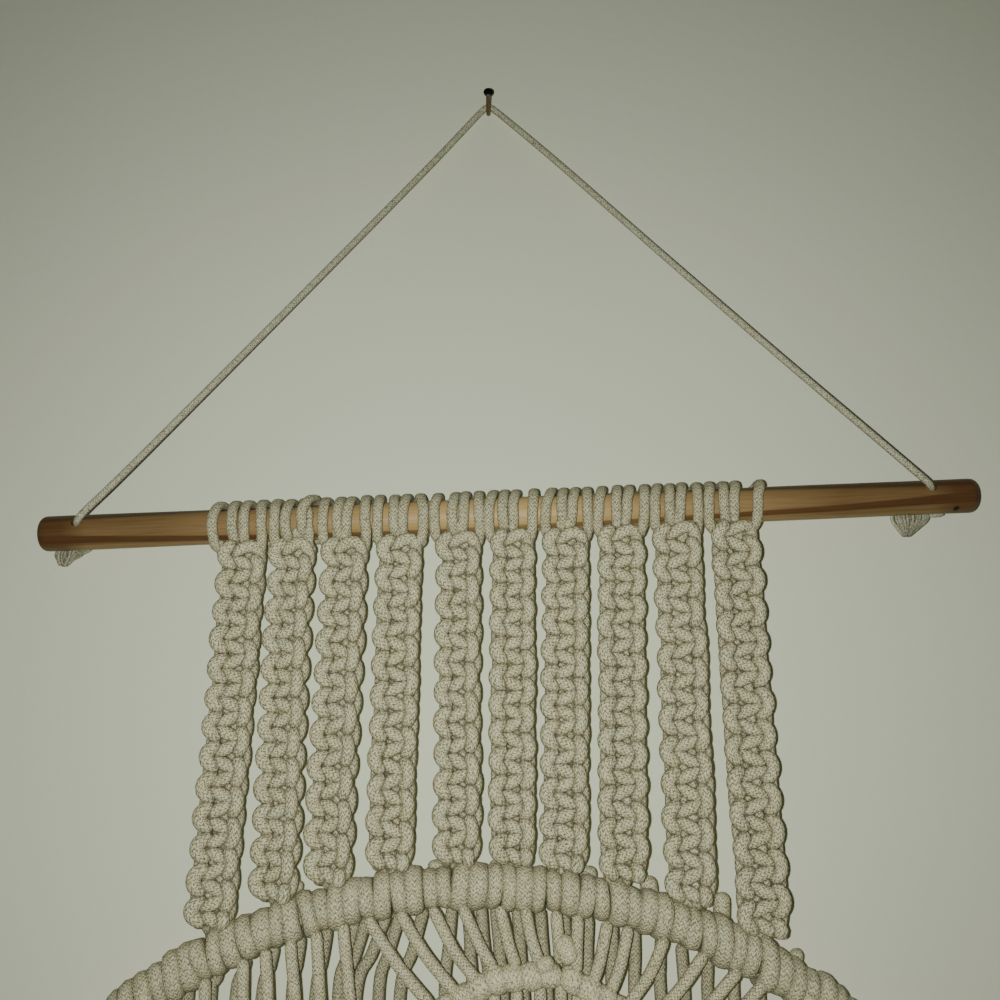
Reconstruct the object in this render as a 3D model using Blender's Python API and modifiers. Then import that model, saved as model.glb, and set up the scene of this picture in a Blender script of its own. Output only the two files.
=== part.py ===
# Macrame wall hanging: a round wooden rod hung by a cord from a nail, ten strips of square
# knots looped over the rod, a cord-wrapped ring, and a net of cords that crosses the ring
# and ends below it in a fringe.
# Metres, +Z up, +X to the right. The wall is the plane Y = 0 and the hanging stands in
# front of it, at negative Y. The origin is where the nail enters the wall.
import bpy
import bmesh
from bisect import bisect
from math import atan2, ceil, cos, pi, radians, sin, sqrt, tan
from mathutils import Euler, Vector

MM = 0.001
GAP = 0.3 * MM                      # between pieces that touch

# Cords, all braided from 6 mm cotton but the one that hangs the rod
LANE = 5.2 * MM                     # a strand's width on the rod, where its neighbours squeeze it
NET_CORD = 5.6 * MM                 # across a cord of the net
HANGER = 4.0 * MM                   # the thinner cord that hangs the rod

# Nail
NAIL_OUT = 22.0 * MM                # how far it stands out of the wall
NAIL_SHANK = 2.8 * MM
NAIL_HEAD = 5.6 * MM
NAIL_HEAD_THICK = 1.5 * MM
NAIL_DOME = 0.25 * MM               # rise of the head's face

# Rod
ROD_LENGTH = 494.0 * MM
ROD_DIAMETER = 18.4 * MM
ROD_CENTRE = Vector((14.1, -21.5, -256.5)) * MM
ROD_TILT = radians(2.82)            # the right end hangs higher
ROD_HOLE = 5.6 * MM
ROD_HOLES = (-226.6 * MM, 221.9 * MM)           # along the rod, from its middle
HOLE_RISE = radians(25)             # how far a hole's front end points up
ROD_EDGE = 1.6 * MM

# Strips of square knots, all hanging plumb
STRIP_Y = -23.5 * MM
STRIP_THICK = 15.5 * MM
BUMP = 3.4 * MM                     # how far a side loop stands out of the strip's edge
TOP_SLIM = 0.84                     # share of the full width at the strip's top,
LAST_SLIM = 0.86                    # at its last knot
END_SLIM = 0.50                     # and where it ends on the ring
END_GAP = 1.2 * GAP
STRIPS = (
    # x at rod, x at ring, width, square knots, turn about the strip's length (below 0, its
    # right side is nearer the room), the four strands on the rod
    (-126.0, -127.3, 24.0, 13, 0, (-12.9, -2.7, 3.2, 12.7)),
    (-99.5, -98.1, 23.6, 12, -18, (-8.1, -2.1, 5.3, 10.9)),
    (-72.3, -72.7, 24.0, 11, -16, (-10.6, -3.2, 2.7, 11.8)),
    (-44.4, -44.5, 23.8, 11, 0, (-10.2, -2.0, 3.7, 13.1)),
    (-12.4, -11.5, 23.6, 11, -15, (-13.2, -3.0, 3.3, 10.5)),
    (14.5, 15.0, 23.4, 12, 0, (-10.3, -4.6, 1.3, 11.6)),
    (43.2, 40.6, 24.2, 12, -14, (-11.1, -3.2, 3.1, 10.8)),
    (71.8, 68.9, 24.6, 12, 0, (-12.1, -3.2, 3.2, 11.1)),
    (102.2, 101.6, 25.4, 12, -16, (-12.9, -5.8, -0.2, 8.1)),
    (133.1, 135.0, 26.4, 13, 0, (-16.0, -8.5, -2.5, 9.4)),
)

# Ring, wrapped all the way round
RING_X = 2.0 * MM
RING_Z = -728.5 * MM
RING_RADIUS = 287.0 * MM            # to the middle of the wrapped tube
RING_TUBE = 10.8 * MM               # radius over the wrapping
RING_SIDES = 48
RING_TUBE_SIDES = 10

# Net inside the ring: a front and a back layer of cords, and two thick rows of knots
LAYER_OFFSET = 5.5 * MM             # of each layer from the ring's middle plane
LAYER_TOP = 276.0 * MM              # radius at which the cords leave the ring
COMB_EDGE = 5.0 * MM                # height of the edge that joins a comb's teeth
TOOTH_GAP = 0.9 * MM                # from a tooth's end to the ring's circle
ARM_DIAMETER = 11.5 * MM
ARM_CLEAR = 8.35 * MM               # from the rows' middle line to the front cords' ends
CURTAIN_CLEAR = 7.04 * MM           # and to the top of the cords below the rows
ARM_APEX_GAP = 6.0 * MM             # between the ends of the two rows at the top
ARM_LINE = ((-134, -557.0), (-20, -497.0), (-4, -488.5), (8, -482.4), (39, -479.6),
            (68.5, -496.2), (110, -521.6))          # middle line of both rows, x and z in mm
FRONT_CORDS = (
    # x at ring, x at the thick row
    (-128.5, -121.0), (-111.2, -105.5), (-101.0, -93.5), (-89.4, -81.5), (-77.3, -69.5),
    (-64.7, -56.5), (-53.5, -22.0), (-38.3, -11.0), (-22.6, -1.0), (-8.3, 7.5),
    (9.3, 18.0), (21.7, 29.0), (36.4, 38.5), (46.8, 46.0), (61.1, 53.5),
    (71.0, 61.5), (88.0, 70.0), (106.6, 80.0), (122.4, 90.5), (133.8, 101.0),
)
BACK_CORDS = (
    # x at ring, x at the bend
    (-137.0, -139.0), (-124.5, -128.0), (-111.5, -116.0), (-98.5, -103.5), (-86.2, -89.5),
    (-73.5, -78.0), (-61.5, -69.5), (-53.5, -63.0), (-46.5, -56.0), (-39.0, -48.5),
    (-27.0, -37.5), (-13.5, -16.5), (-6.5, -3.0), (0.5, 4.5), (7.5, 11.5),
    (17.8, 21.8), (29.3, 33.0), (41.0, 42.5), (52.7, 52.3), (64.5, 63.5),
    (74.8, 74.2), (87.5, 86.3), (97.0, 98.0), (110.0, 109.4), (122.0, 121.5),
    (134.0, 134.0),
)
BACK_BEND_Z = -492.0 * MM
BACK_PITCH = 10.9 * MM              # at the foot of the ring
CURTAIN_PITCH = 13.2 * MM           # front cords below the thick rows
FRINGE_PITCH = 14.2 * MM
FRINGE_WIDE = 10.2 * MM             # two cords side by side
FRINGE_THICK = 6.0 * MM
FRINGE_END_Z = -1245.0 * MM
FRINGE_UNEVEN = 3.0 * MM

# Knots that stop the hanging cord below the rod
STOP_KNOT = Vector((8.8, 6.6, 4.6)) * MM        # half sizes, the last one away from the rod
STOP_KNOT_TOP = 0.80                # its side on the rod, flattened to this share of the half size
STOP_KNOTS = (
    # name, which hole, shift to the right, how far below the hole it has slipped round the rod
    ("knot_left", 0, -3.0 * MM, radians(6)),
    ("knot_right", 1, -5.0 * MM, radians(22)),
)

# Route of the hanging cord, in mm, from the left knot over the nail to the right knot
HANGER_ROUTE = (
    (-212.2, -13.4, -271.4), (-212.2, -17.4, -269.6), (-212.2, -21.5, -267.7),
    (-212.2, -25.6, -265.8), (-212.2, -28.8, -264.3), (-211.8, -31.0, -262.7),
    (-210.7, -32.5, -260.5), (-209.1, -32.9, -258.3), (-193.1, -30.5, -237.9),
    (-149.1, -24.0, -182.0), (-89.0, -15.2, -105.7), (-39.0, -7.9, -42.1),
    (-9.0, -3.5, -4.0), (-4.8, -3.1, 1.0), (-2.6, -2.9, 3.0), (0.0, -2.8, 3.9),
    (2.6, -2.9, 3.0), (4.8, -3.1, 1.1), (10.0, -3.5, -4.0), (43.3, -7.9, -38.9),
    (98.9, -15.3, -97.0), (165.5, -24.1, -166.6), (214.4, -30.6, -217.7),
    (232.1, -33.0, -236.3), (234.1, -32.6, -238.6), (235.3, -31.1, -240.7),
    (235.7, -28.8, -242.2), (235.7, -25.6, -243.7), (235.7, -21.5, -245.6),
    (235.7, -17.4, -247.5), (235.7, -13.5, -249.3),
)
HANGER_SPACING = 12.5 * MM

# Colours
COTTON = (0.60, 0.56, 0.45, 1.0)
PINE = (0.45, 0.28, 0.12, 1.0)
STEEL = (0.12, 0.10, 0.07, 1.0)


# ---------------------------------------------------------------- scene and materials

def clear_scene():
    for obj in list(bpy.data.objects):
        bpy.data.objects.remove(obj, do_unlink=True)


def make_collection(name):
    group = bpy.data.collections.new(name)
    bpy.context.scene.collection.children.link(group)
    return group


def make_material(name, colour, roughness, metallic=0.0):
    made = bpy.data.materials.new(name)
    made.use_nodes = True
    shader = made.node_tree.nodes["Principled BSDF"]
    shader.inputs["Base Color"].default_value = colour
    shader.inputs["Roughness"].default_value = roughness
    shader.inputs["Metallic"].default_value = metallic
    return made


def own_material(obj, colour, roughness, metallic=0.0):
    obj.data.materials.clear()
    obj.data.materials.append(make_material(obj.name + "_finish", colour, roughness, metallic))


def place(obj, group):
    for old in list(obj.users_collection):
        old.objects.unlink(obj)
    group.objects.link(obj)


def object_from_bmesh(name, bm, group):
    bmesh.ops.recalc_face_normals(bm, faces=bm.faces)
    mesh = bpy.data.meshes.new(name)
    bm.to_mesh(mesh)
    bm.free()
    obj = bpy.data.objects.new(name, mesh)
    group.objects.link(obj)
    return obj


def thicken(obj, thickness):
    solid = obj.modifiers.new("Thickness", 'SOLIDIFY')
    solid.thickness = thickness
    solid.offset = 0.0
    solid.use_even_offset = False


# ---------------------------------------------------------------- shared geometry

def rod_point(along):
    """The point of the rod's axis at this distance to the right of its middle."""
    return ROD_CENTRE + along * Vector((cos(ROD_TILT), 0, sin(ROD_TILT)))


def rod_axis_z(x):
    """Height of the rod's axis at x."""
    return ROD_CENTRE.z + (x - ROD_CENTRE.x) * tan(ROD_TILT)


def ring_z(x, radius, side):
    """Height at x on a circle about the ring's centre; side is 1 above it and -1 below."""
    return RING_Z + side * sqrt(radius ** 2 - (x - RING_X) ** 2)


def arm_z(x):
    """Height at x of the middle line of the two thick rows."""
    xs = [point[0] * MM for point in ARM_LINE]
    k = min(max(bisect(xs, x), 1), len(xs) - 1)
    share = (x - xs[k - 1]) / (xs[k] - xs[k - 1])
    return (ARM_LINE[k - 1][1] + share * (ARM_LINE[k][1] - ARM_LINE[k - 1][1])) * MM


def smooth_route(route, spacing):
    """Points on a smooth curve through the route's points, at most the spacing apart."""
    knots = [Vector(point) * MM for point in route]
    padded = [2 * knots[0] - knots[1]] + knots + [2 * knots[-1] - knots[-2]]
    points = []
    for k in range(len(knots) - 1):
        p0, p1, p2, p3 = padded[k:k + 4]
        steps = max(1, ceil((p2 - p1).length / spacing))
        for step in range(steps):
            t = step / steps
            points.append(0.5 * (2 * p1 + (p2 - p0) * t + (2 * p0 - 5 * p1 + 4 * p2 - p3) * t ** 2
                                 + (3 * p1 - p0 - 3 * p2 + p3) * t ** 3))
    return points + [knots[-1]]


def tube(name, points, diameter, group, resolution=2):
    curve = bpy.data.curves.new(name, 'CURVE')
    curve.dimensions = '3D'
    curve.bevel_depth = diameter / 2
    curve.bevel_resolution = resolution
    curve.use_fill_caps = True
    line = curve.splines.new('POLY')
    line.points.add(len(points) - 1)
    for slot, point in zip(line.points, points):
        slot.co = (*point, 1.0)
    obj = bpy.data.objects.new(name, curve)
    group.objects.link(obj)
    return obj


# ---------------------------------------------------------------- nail, rod, hanging cord

def build_nail(group):
    """Turned about its own Z, then laid along -Y with its flat end on the wall."""
    shank = NAIL_SHANK / 2
    head = NAIL_HEAD / 2
    under = NAIL_OUT - NAIL_HEAD_THICK
    profile = ((0, NAIL_OUT), (head * 0.7, NAIL_OUT - NAIL_DOME), (head, (NAIL_OUT + under) / 2),
               (head * 0.95, under), (shank, under - NAIL_SHANK / 4), (shank, 0), (0, 0))
    bm = bmesh.new()
    verts = [bm.verts.new((r, 0, z)) for r, z in profile]
    for a, b in zip(verts, verts[1:]):
        bm.edges.new((a, b))
    mesh = bpy.data.meshes.new("nail")
    bm.to_mesh(mesh)
    bm.free()
    nail = bpy.data.objects.new("nail", mesh)
    group.objects.link(nail)
    turn = nail.modifiers.new("Turn", 'SCREW')
    turn.angle = 2 * pi
    turn.steps = 16
    turn.render_steps = 16
    turn.use_merge_vertices = True
    turn.merge_threshold = 0.00001
    nail.rotation_euler = (pi / 2, 0, 0)
    own_material(nail, STEEL, 0.35, 0.9)


def build_rod(group, cutters):
    bpy.ops.mesh.primitive_cylinder_add(vertices=40, radius=ROD_DIAMETER / 2, depth=ROD_LENGTH)
    rod = bpy.context.object
    rod.name = "rod"
    rod.data.name = "rod"
    place(rod, group)
    rod.location = ROD_CENTRE
    rod.rotation_euler = (0, pi / 2 - ROD_TILT, 0)
    edge = rod.modifiers.new("Edge", 'BEVEL')
    edge.width = ROD_EDGE
    edge.segments = 2
    edge.limit_method = 'ANGLE'
    for along in ROD_HOLES:
        bpy.ops.mesh.primitive_cylinder_add(vertices=20, radius=ROD_HOLE / 2, depth=2 * ROD_DIAMETER)
        cutter = bpy.context.object
        cutter.name = "hole_left" if along < 0 else "hole_right"
        place(cutter, cutters)
        cutter.location = rod_point(along)
        cutter.rotation_euler = (pi / 2 - HOLE_RISE, 0, 0)
        cutter.hide_render = True
        cutter.display_type = 'WIRE'
        hole = rod.modifiers.new(cutter.name, 'BOOLEAN')
        hole.operation = 'DIFFERENCE'
        hole.object = cutter
    own_material(rod, PINE, 0.4)


def build_hanging_cord(group):
    points = smooth_route(HANGER_ROUTE, HANGER_SPACING)
    cord = tube("hanging_cord", points, HANGER, group)
    own_material(cord, COTTON, 0.9)


def build_stop_knot(name, hole, shift, slip, group):
    """A lumpy knot behind the rod, its flattened side against the hole's back end."""
    bm = bmesh.new()
    bmesh.ops.create_icosphere(bm, subdivisions=2, radius=1.0)
    for vert in bm.verts:
        x, y, z = vert.co
        lump = 1 + 0.10 * sin(4 * x + 1.5 * z) + 0.08 * cos(5 * y - 2 * x)
        top = min(z * lump, STOP_KNOT_TOP)
        vert.co = (x * lump * STOP_KNOT.x, y * lump * STOP_KNOT.y, top * STOP_KNOT.z)
    knot = object_from_bmesh(name, bm, group)
    turn = HOLE_RISE + slip
    away = ROD_DIAMETER / 2 + GAP + STOP_KNOT_TOP * STOP_KNOT.z
    knot.location = rod_point(ROD_HOLES[hole]) + Vector((shift, cos(turn) * away, -sin(turn) * away))
    knot.rotation_euler = (pi / 2 - turn, 0, 0)
    own_material(knot, COTTON, 0.95)


# ---------------------------------------------------------------- strips and their headings

HEAD_ROWS = 8
HEAD_THICK = 5.6 * MM
HEAD_INNER = (ROD_DIAMETER / 2 + GAP) / cos(pi / HEAD_ROWS)
HEAD_FOOT = (HEAD_INNER + HEAD_THICK) * cos(pi / HEAD_ROWS)     # below the rod's axis
BACK_LANES = (-9.0, -3.0, 3.0, 9.0)
BACK_BAR_ROWS = (5,)
FOOT_ROWS = (6,)


def lane_edge(front, column, angle):
    """x of a strand's edge; front holds the four strands where they cross the rod's front."""
    strand = min(column // 2, 3)
    side = -1 if column % 2 == 0 else 1
    ahead = max(0.0, cos(angle)) ** 0.7
    middle = ahead * front[strand] + (1 - ahead) * BACK_LANES[strand]
    return middle * MM + side * LANE / 2


def build_heading(name, x, front, group):
    """Four strands round the rod, tied behind by short bars and gathered below it."""
    bm = bmesh.new()
    bmesh.ops.create_grid(bm, x_segments=7, y_segments=HEAD_ROWS, size=0.5)
    middle = HEAD_INNER + HEAD_THICK / 2
    gaps = []
    for face in bm.faces:
        centre = face.calc_center_median()
        column = int((centre.x + 0.5) * 7)
        row = int((centre.y + 0.5) * HEAD_ROWS)
        tied = row in FOOT_ROWS or (row in BACK_BAR_ROWS and column != 3)
        if column % 2 == 1 and not tied:
            gaps.append(face)
    bmesh.ops.delete(bm, geom=gaps, context='FACES')
    for vert in bm.verts:
        column = round((vert.co.x + 0.5) * 7)
        angle = (round((vert.co.y + 0.5) * HEAD_ROWS) - 0.5) * 2 * pi / HEAD_ROWS
        vert.co = (lane_edge(front, column, angle), -middle * cos(angle), middle * sin(angle))
    bmesh.ops.remove_doubles(bm, verts=bm.verts, dist=0.00001)
    heading = object_from_bmesh(name, bm, group)
    thicken(heading, HEAD_THICK)
    heading.location = (x, ROD_CENTRE.y, rod_axis_z(x))
    heading.rotation_euler = (0, -ROD_TILT, 0)
    own_material(heading, COTTON, 0.9)


def build_strip(name, x_top, x_end, width, knots, turn, group):
    """A plumb strip of square knots, whose side loops stand out left and right in turn."""
    top = rod_axis_z(x_top) - HEAD_FOOT - GAP - width / 2 * sin(ROD_TILT)
    end = ring_z(x_end, RING_RADIUS + RING_TUBE, 1)
    levels = 2 * knots
    bm = bmesh.new()
    made = bmesh.ops.create_circle(bm, cap_ends=True, segments=6, radius=1.0)
    angles = [k * pi / 3 for k in range(6)]
    order = sorted(made["verts"], key=lambda v: atan2(v.co.y, v.co.x) % (2 * pi))
    bm.faces.ensure_lookup_table()
    face = bm.faces[0]
    spin = Euler((0, 0, radians(turn)))
    for level in range(levels + 1):
        share = level / levels
        slim = {0: TOP_SLIM, levels - 1: LAST_SLIM, levels: END_SLIM}.get(level, 1.0)
        side = -1 if level % 2 == 0 else 1
        half = slim * (width - BUMP) / 2
        middle = Vector((x_top + share * (x_end - x_top), STRIP_Y, top + share * (end - top)))
        if level:
            grown = bmesh.ops.extrude_face_region(bm, geom=[face])["geom"]
            if level > 1:
                bmesh.ops.delete(bm, geom=[face], context='FACES_ONLY')
            face = next(part for part in grown if isinstance(part, bmesh.types.BMFace))
            order = match_order(order, [part for part in grown if isinstance(part, bmesh.types.BMVert)])
        deep = slim ** 0.5 * STRIP_THICK / 2
        for vert, angle in zip(order, angles):
            local = Vector((half * cos(angle) + side * slim * BUMP / 2,
                            deep * sin(angle) / sin(pi / 3), 0))
            local.rotate(spin)
            vert.co = middle + local
            if level == levels:
                vert.co.z = ring_z(vert.co.x, RING_RADIUS + RING_TUBE, 1) + END_GAP
    strip = object_from_bmesh(name, bm, group)
    own_material(strip, COTTON, 0.9)


def match_order(old, new):
    """The extruded vertices in the order of the ones that they grew from."""
    return [min(new, key=lambda v: (v.co - before.co).length) for before in old]


# ---------------------------------------------------------------- ring and net

def build_ring(group):
    bpy.ops.mesh.primitive_torus_add(major_radius=RING_RADIUS, minor_radius=RING_TUBE,
                                     major_segments=RING_SIDES, minor_segments=RING_TUBE_SIDES)
    ring = bpy.context.object
    ring.name = "ring"
    ring.data.name = "ring"
    place(ring, group)
    ring.location = (RING_X, STRIP_Y, RING_Z)
    ring.rotation_euler = (pi / 2, 0, 0)
    own_material(ring, COTTON, 0.9)


def build_comb(name, header, teeth, width, y, thickness, group):
    """One flat comb: header(x) gives the heights of its edge's two sides, and each tooth is
    the list of its middle points, from the edge down, x and z."""
    bm = bmesh.new()
    row = []
    for tooth in teeth:
        for side in (-1, 1):
            x = tooth[0][0] + side * width / 2
            upper, lower = header(x)
            row.append((bm.verts.new((x, y, upper)), bm.verts.new((x, y, lower))))
    for (a, b), (c, d) in zip(row, row[1:]):
        bm.faces.new((a, b, d, c))
    for k, tooth in enumerate(teeth):
        edge = bm.edges.get((row[2 * k][1], row[2 * k + 1][1]))
        for before, after in zip(tooth, tooth[1:]):
            grown = bmesh.ops.extrude_edge_only(bm, edges=[edge])["geom"]
            ends = sorted((part for part in grown if isinstance(part, bmesh.types.BMVert)),
                          key=lambda v: v.co.x)
            step = Vector((after[0] - before[0], 0, after[1] - before[1])).normalized()
            across = Vector((-step.z, 0, step.x)) * width / 2
            for vert, side in zip(ends, (-1, 1)):
                vert.co = Vector((after[0], y, after[1])) + side * across
            edge = next(part for part in grown if isinstance(part, bmesh.types.BMEdge)
                        and all(v in ends for v in part.verts))
    comb = object_from_bmesh(name, bm, group)
    thicken(comb, thickness)
    own_material(comb, COTTON, 0.9)


def ring_header(radius, side):
    """The edge of a comb that follows the ring."""
    def header(x):
        if side > 0:
            return ring_z(x, radius, 1), ring_z(x, radius - COMB_EDGE, 1)
        return ring_z(x, radius, -1), ring_z(x, radius, -1) - COMB_EDGE
    return header


def build_front_net(group):
    teeth = []
    for x_ring, x_arm in FRONT_CORDS:
        start = (x_ring * MM, ring_z(x_ring * MM, LAYER_TOP - COMB_EDGE, 1))
        end = (x_arm * MM, arm_z(x_arm * MM) + ARM_CLEAR)
        teeth.append((start, end))
    build_comb("net_front", ring_header(LAYER_TOP, 1), teeth, NET_CORD,
               STRIP_Y - LAYER_OFFSET, NET_CORD, group)


def build_back_net(group):
    teeth = []
    for k, (x_ring, x_bend) in enumerate(BACK_CORDS):
        start = (x_ring * MM, ring_z(x_ring * MM, LAYER_TOP - COMB_EDGE, 1))
        x = RING_X + (k - (len(BACK_CORDS) - 1) / 2) * BACK_PITCH
        teeth.append((start, (x_bend * MM, BACK_BEND_Z), (x, ring_z(x, LAYER_TOP, -1) + TOOTH_GAP)))
    build_comb("net_back", ring_header(LAYER_TOP, 1), teeth, NET_CORD,
               STRIP_Y + LAYER_OFFSET, NET_CORD, group)


def build_arms(group):
    """The two thick rows of knots, left and right of the apex."""
    apex = max(range(len(ARM_LINE)), key=lambda k: ARM_LINE[k][1])
    lines = {"arm_left": ARM_LINE[:apex + 1], "arm_right": ARM_LINE[:apex - 1:-1]}
    for name, line in lines.items():
        points = [Vector((x * MM, STRIP_Y - LAYER_OFFSET, z * MM)) for x, z in line]
        back = (points[-2] - points[-1]).normalized() * ARM_APEX_GAP / 2
        points[-1] = points[-1] + back
        arm = tube(name, points, ARM_DIAMETER, group)
        own_material(arm, COTTON, 0.95)


def build_curtain(group):
    """The front cords below the thick rows, down to the bottom of the ring."""
    first = FRONT_CORDS[0][1] * MM

    def header(x):
        return arm_z(x) - CURTAIN_CLEAR, arm_z(x) - CURTAIN_CLEAR - COMB_EDGE

    teeth = []
    for k, (x_ring, x_arm) in enumerate(FRONT_CORDS):
        top = x_arm * MM
        x = first + k * CURTAIN_PITCH
        teeth.append(((top, header(top)[1]), (x, ring_z(x, LAYER_TOP, -1) + TOOTH_GAP)))
    build_comb("curtain", header, teeth, NET_CORD, STRIP_Y - LAYER_OFFSET, NET_CORD, group)


def build_fringe(group):
    count = len(FRONT_CORDS)
    radius = RING_RADIUS + RING_TUBE + GAP
    teeth = []
    for k in range(count):
        x = RING_X + (k - (count - 1) / 2) * FRINGE_PITCH
        trim = FRINGE_END_Z + FRINGE_UNEVEN * sin(2.4 * k)
        teeth.append(((x, ring_z(x, radius, -1) - COMB_EDGE), (x, trim)))
    build_comb("fringe", ring_header(radius, -1), teeth, FRINGE_WIDE, STRIP_Y, FRINGE_THICK, group)


# ---------------------------------------------------------------- the whole hanging

def build():
    clear_scene()
    hanging = make_collection("macrame_wall_hanging")
    cutters = make_collection("cutters")
    build_nail(hanging)
    build_rod(hanging, cutters)
    build_hanging_cord(hanging)
    for name, hole, shift, slip in STOP_KNOTS:
        build_stop_knot(name, hole, shift, slip, hanging)
    for number, (x_rod, x_ring, width, knots, turn, front) in enumerate(STRIPS, start=1):
        build_heading(f"heading_{number:02d}", x_rod * MM, front, hanging)
        build_strip(f"strip_{number:02d}", x_rod * MM, x_ring * MM, width * MM, knots, turn, hanging)
    build_ring(hanging)
    build_front_net(hanging)
    build_arms(hanging)
    build_back_net(hanging)
    build_curtain(hanging)
    build_fringe(hanging)


build()
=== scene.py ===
import math
import bpy
import bmesh
import numpy as np
from mathutils import Matrix, Vector


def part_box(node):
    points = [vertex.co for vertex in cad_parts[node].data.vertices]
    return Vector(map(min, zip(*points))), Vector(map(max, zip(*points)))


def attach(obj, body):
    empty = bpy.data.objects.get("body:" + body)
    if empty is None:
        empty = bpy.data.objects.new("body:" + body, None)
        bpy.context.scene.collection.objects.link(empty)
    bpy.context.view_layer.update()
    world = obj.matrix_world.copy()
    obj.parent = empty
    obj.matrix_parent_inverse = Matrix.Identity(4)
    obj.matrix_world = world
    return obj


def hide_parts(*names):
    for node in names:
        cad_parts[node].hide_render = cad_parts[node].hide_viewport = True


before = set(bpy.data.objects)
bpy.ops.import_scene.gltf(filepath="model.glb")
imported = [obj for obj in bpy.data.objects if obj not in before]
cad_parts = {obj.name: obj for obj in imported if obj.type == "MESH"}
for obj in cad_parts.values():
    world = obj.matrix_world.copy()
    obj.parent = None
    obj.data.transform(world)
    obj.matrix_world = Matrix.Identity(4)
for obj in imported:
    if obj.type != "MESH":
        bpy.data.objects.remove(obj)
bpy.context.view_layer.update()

# Looks of the macrame wall hanging: cotton cord knotted over a wooden rod, round a wrapped ring and into a net.
# X runs to the right, the wall is at Y = 0 and Z is up. The dictionaries below hold millimetres and degrees.

mm = 0.001

# the layout that every piece shares
layout = {
    "rodCentre": (14.1, -21.5, -256.5), "rodLength": 494.0, "rodRadius": 9.2, "rodTilt": 2.82,
    "stripY": -23.5, "ringX": 2.0, "ringZ": -728.5, "ringRadius": 287.0, "ringTube": 10.8,
    "layerOffset": 5.5, "layerTop": 276.0, "fringeEnd": -1245.0,
}


def rodHeight(x):
    return layout["rodCentre"][2] + (x - layout["rodCentre"][0]) * math.tan(math.radians(layout["rodTilt"]))


def ringHeight(x, radius, side=1):
    return layout["ringZ"] + side * math.sqrt(radius ** 2 - (x - layout["ringX"]) ** 2)


# camera
view = {
    "position": (8.53, -538.3, -375.26), "pitch": 13.78, "roll": 0.366,
    "lens": 36.0, "sensor": 36.0, "near": 10,
}


def addObject(name, data):
    made = bpy.data.objects.new(name, data)
    bpy.context.scene.collection.objects.link(made)
    return made


def meshOf(name, bm):
    mesh = bpy.data.meshes.new(name)
    bm.to_mesh(mesh)
    bm.free()
    return mesh


def makeCamera():
    lens = bpy.data.cameras.new("camera")
    lens.lens = view["lens"]
    lens.sensor_width = view["sensor"]
    lens.clip_start = view["near"] * mm
    camera = addObject("camera", lens)
    camera.matrix_world = (Matrix.Translation(Vector(view["position"]) * mm)
                           @ Matrix.Rotation(math.pi / 2 + math.radians(view["pitch"]), 4, 'X')
                           @ Matrix.Rotation(math.radians(view["roll"]), 4, 'Z'))
    bpy.context.scene.camera = camera


makeCamera()
print("camera set")


# shader maths: a Socket wraps an output, and an expression on Sockets adds Math nodes
class Socket:
    def __init__(self, tree, link=None):
        self.tree = tree
        self.link = link

    def node(self, kind, settings=None, inputs=None, out=0):
        made = self.tree.nodes.new("ShaderNode" + kind)
        for name, value in (settings or {}).items():
            if name == "stops":
                ramp = made.color_ramp
                for place, colour in value[1:-1]:
                    ramp.elements.new(place)
                for element, (place, colour) in zip(ramp.elements, value):
                    element.position = place
                    element.color = colour if len(colour) == 4 else (*colour, 1)
            else:
                setattr(made, name, value)
        for key, value in (inputs or {}).items():
            if isinstance(value, Socket):
                self.tree.links.new(value.link, made.inputs[key])
            else:
                made.inputs[key].default_value = value
        return Socket(self.tree, made.outputs[out])

    def maths(self, operation, *values):
        return self.node("Math", {"operation": operation}, dict(enumerate(values)))

    def floor(self):
        return self.maths('FLOOR', self)

    def size(self):
        return self.maths('ABSOLUTE', self)

    def clip(self):
        return self.node("Clamp", None, {0: self})

    def blend(self, first, second):
        first, second = ((*v, 1) if isinstance(v, tuple) else v for v in (first, second))
        return self.node("Mix", {"data_type": 'RGBA'}, {0: self, 6: first, 7: second}, 2)

    def tinted(self, colour):
        return self.node("Mix", {"data_type": 'RGBA', "blend_type": 'MULTIPLY'},
                         {0: 1.0, 6: self, 7: (*colour, 1)}, 2)

    def parts(self):
        split = self.node("SeparateXYZ", None, {0: self}).link.node
        return [Socket(self.tree, end) for end in split.outputs]

    def ramp(self, *stops):
        return self.node("ValToRGB", {"stops": stops}, {0: self})


for operator, kind in (("add", 'ADD'), ("sub", 'SUBTRACT'), ("mul", 'MULTIPLY'), ("truediv", 'DIVIDE'),
                       ("pow", 'POWER'), ("mod", 'FLOORED_MODULO')):
    setattr(Socket, f"__{operator}__", lambda self, other, kind=kind: self.maths(kind, self, other))
    setattr(Socket, f"__r{operator}__", lambda self, other, kind=kind: self.maths(kind, other, self))


def noiseOf(tools, place, scale, detail=2.0, rough=0.5, stretch=None):
    if stretch:
        place = tools.node("Mapping", None, {0: place, 3: stretch})
    return tools.node("TexNoise", None, {"Vector": place, "Scale": scale, "Detail": detail, "Roughness": rough})


def objectPlace(tools):
    return tools.node("TexCoord", None, None, 3)


def startMaterial(name, roughness, settings=None):
    made = bpy.data.materials.new(name)
    made.use_nodes = True
    shader = made.node_tree.nodes["Principled BSDF"]
    shader.inputs["Roughness"].default_value = roughness
    for key, value in (settings or {}).items():
        shader.inputs[key].default_value = value
    return made, shader, Socket(made.node_tree)


def plug(shader, key, value):
    value.tree.links.new(value.link, shader.inputs[key])


def plugBump(shader, height, distance, strength=1.0):
    plug(shader, "Normal", height.node("Bump", None, {0: strength, "Distance": distance, "Height": height}))


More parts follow.
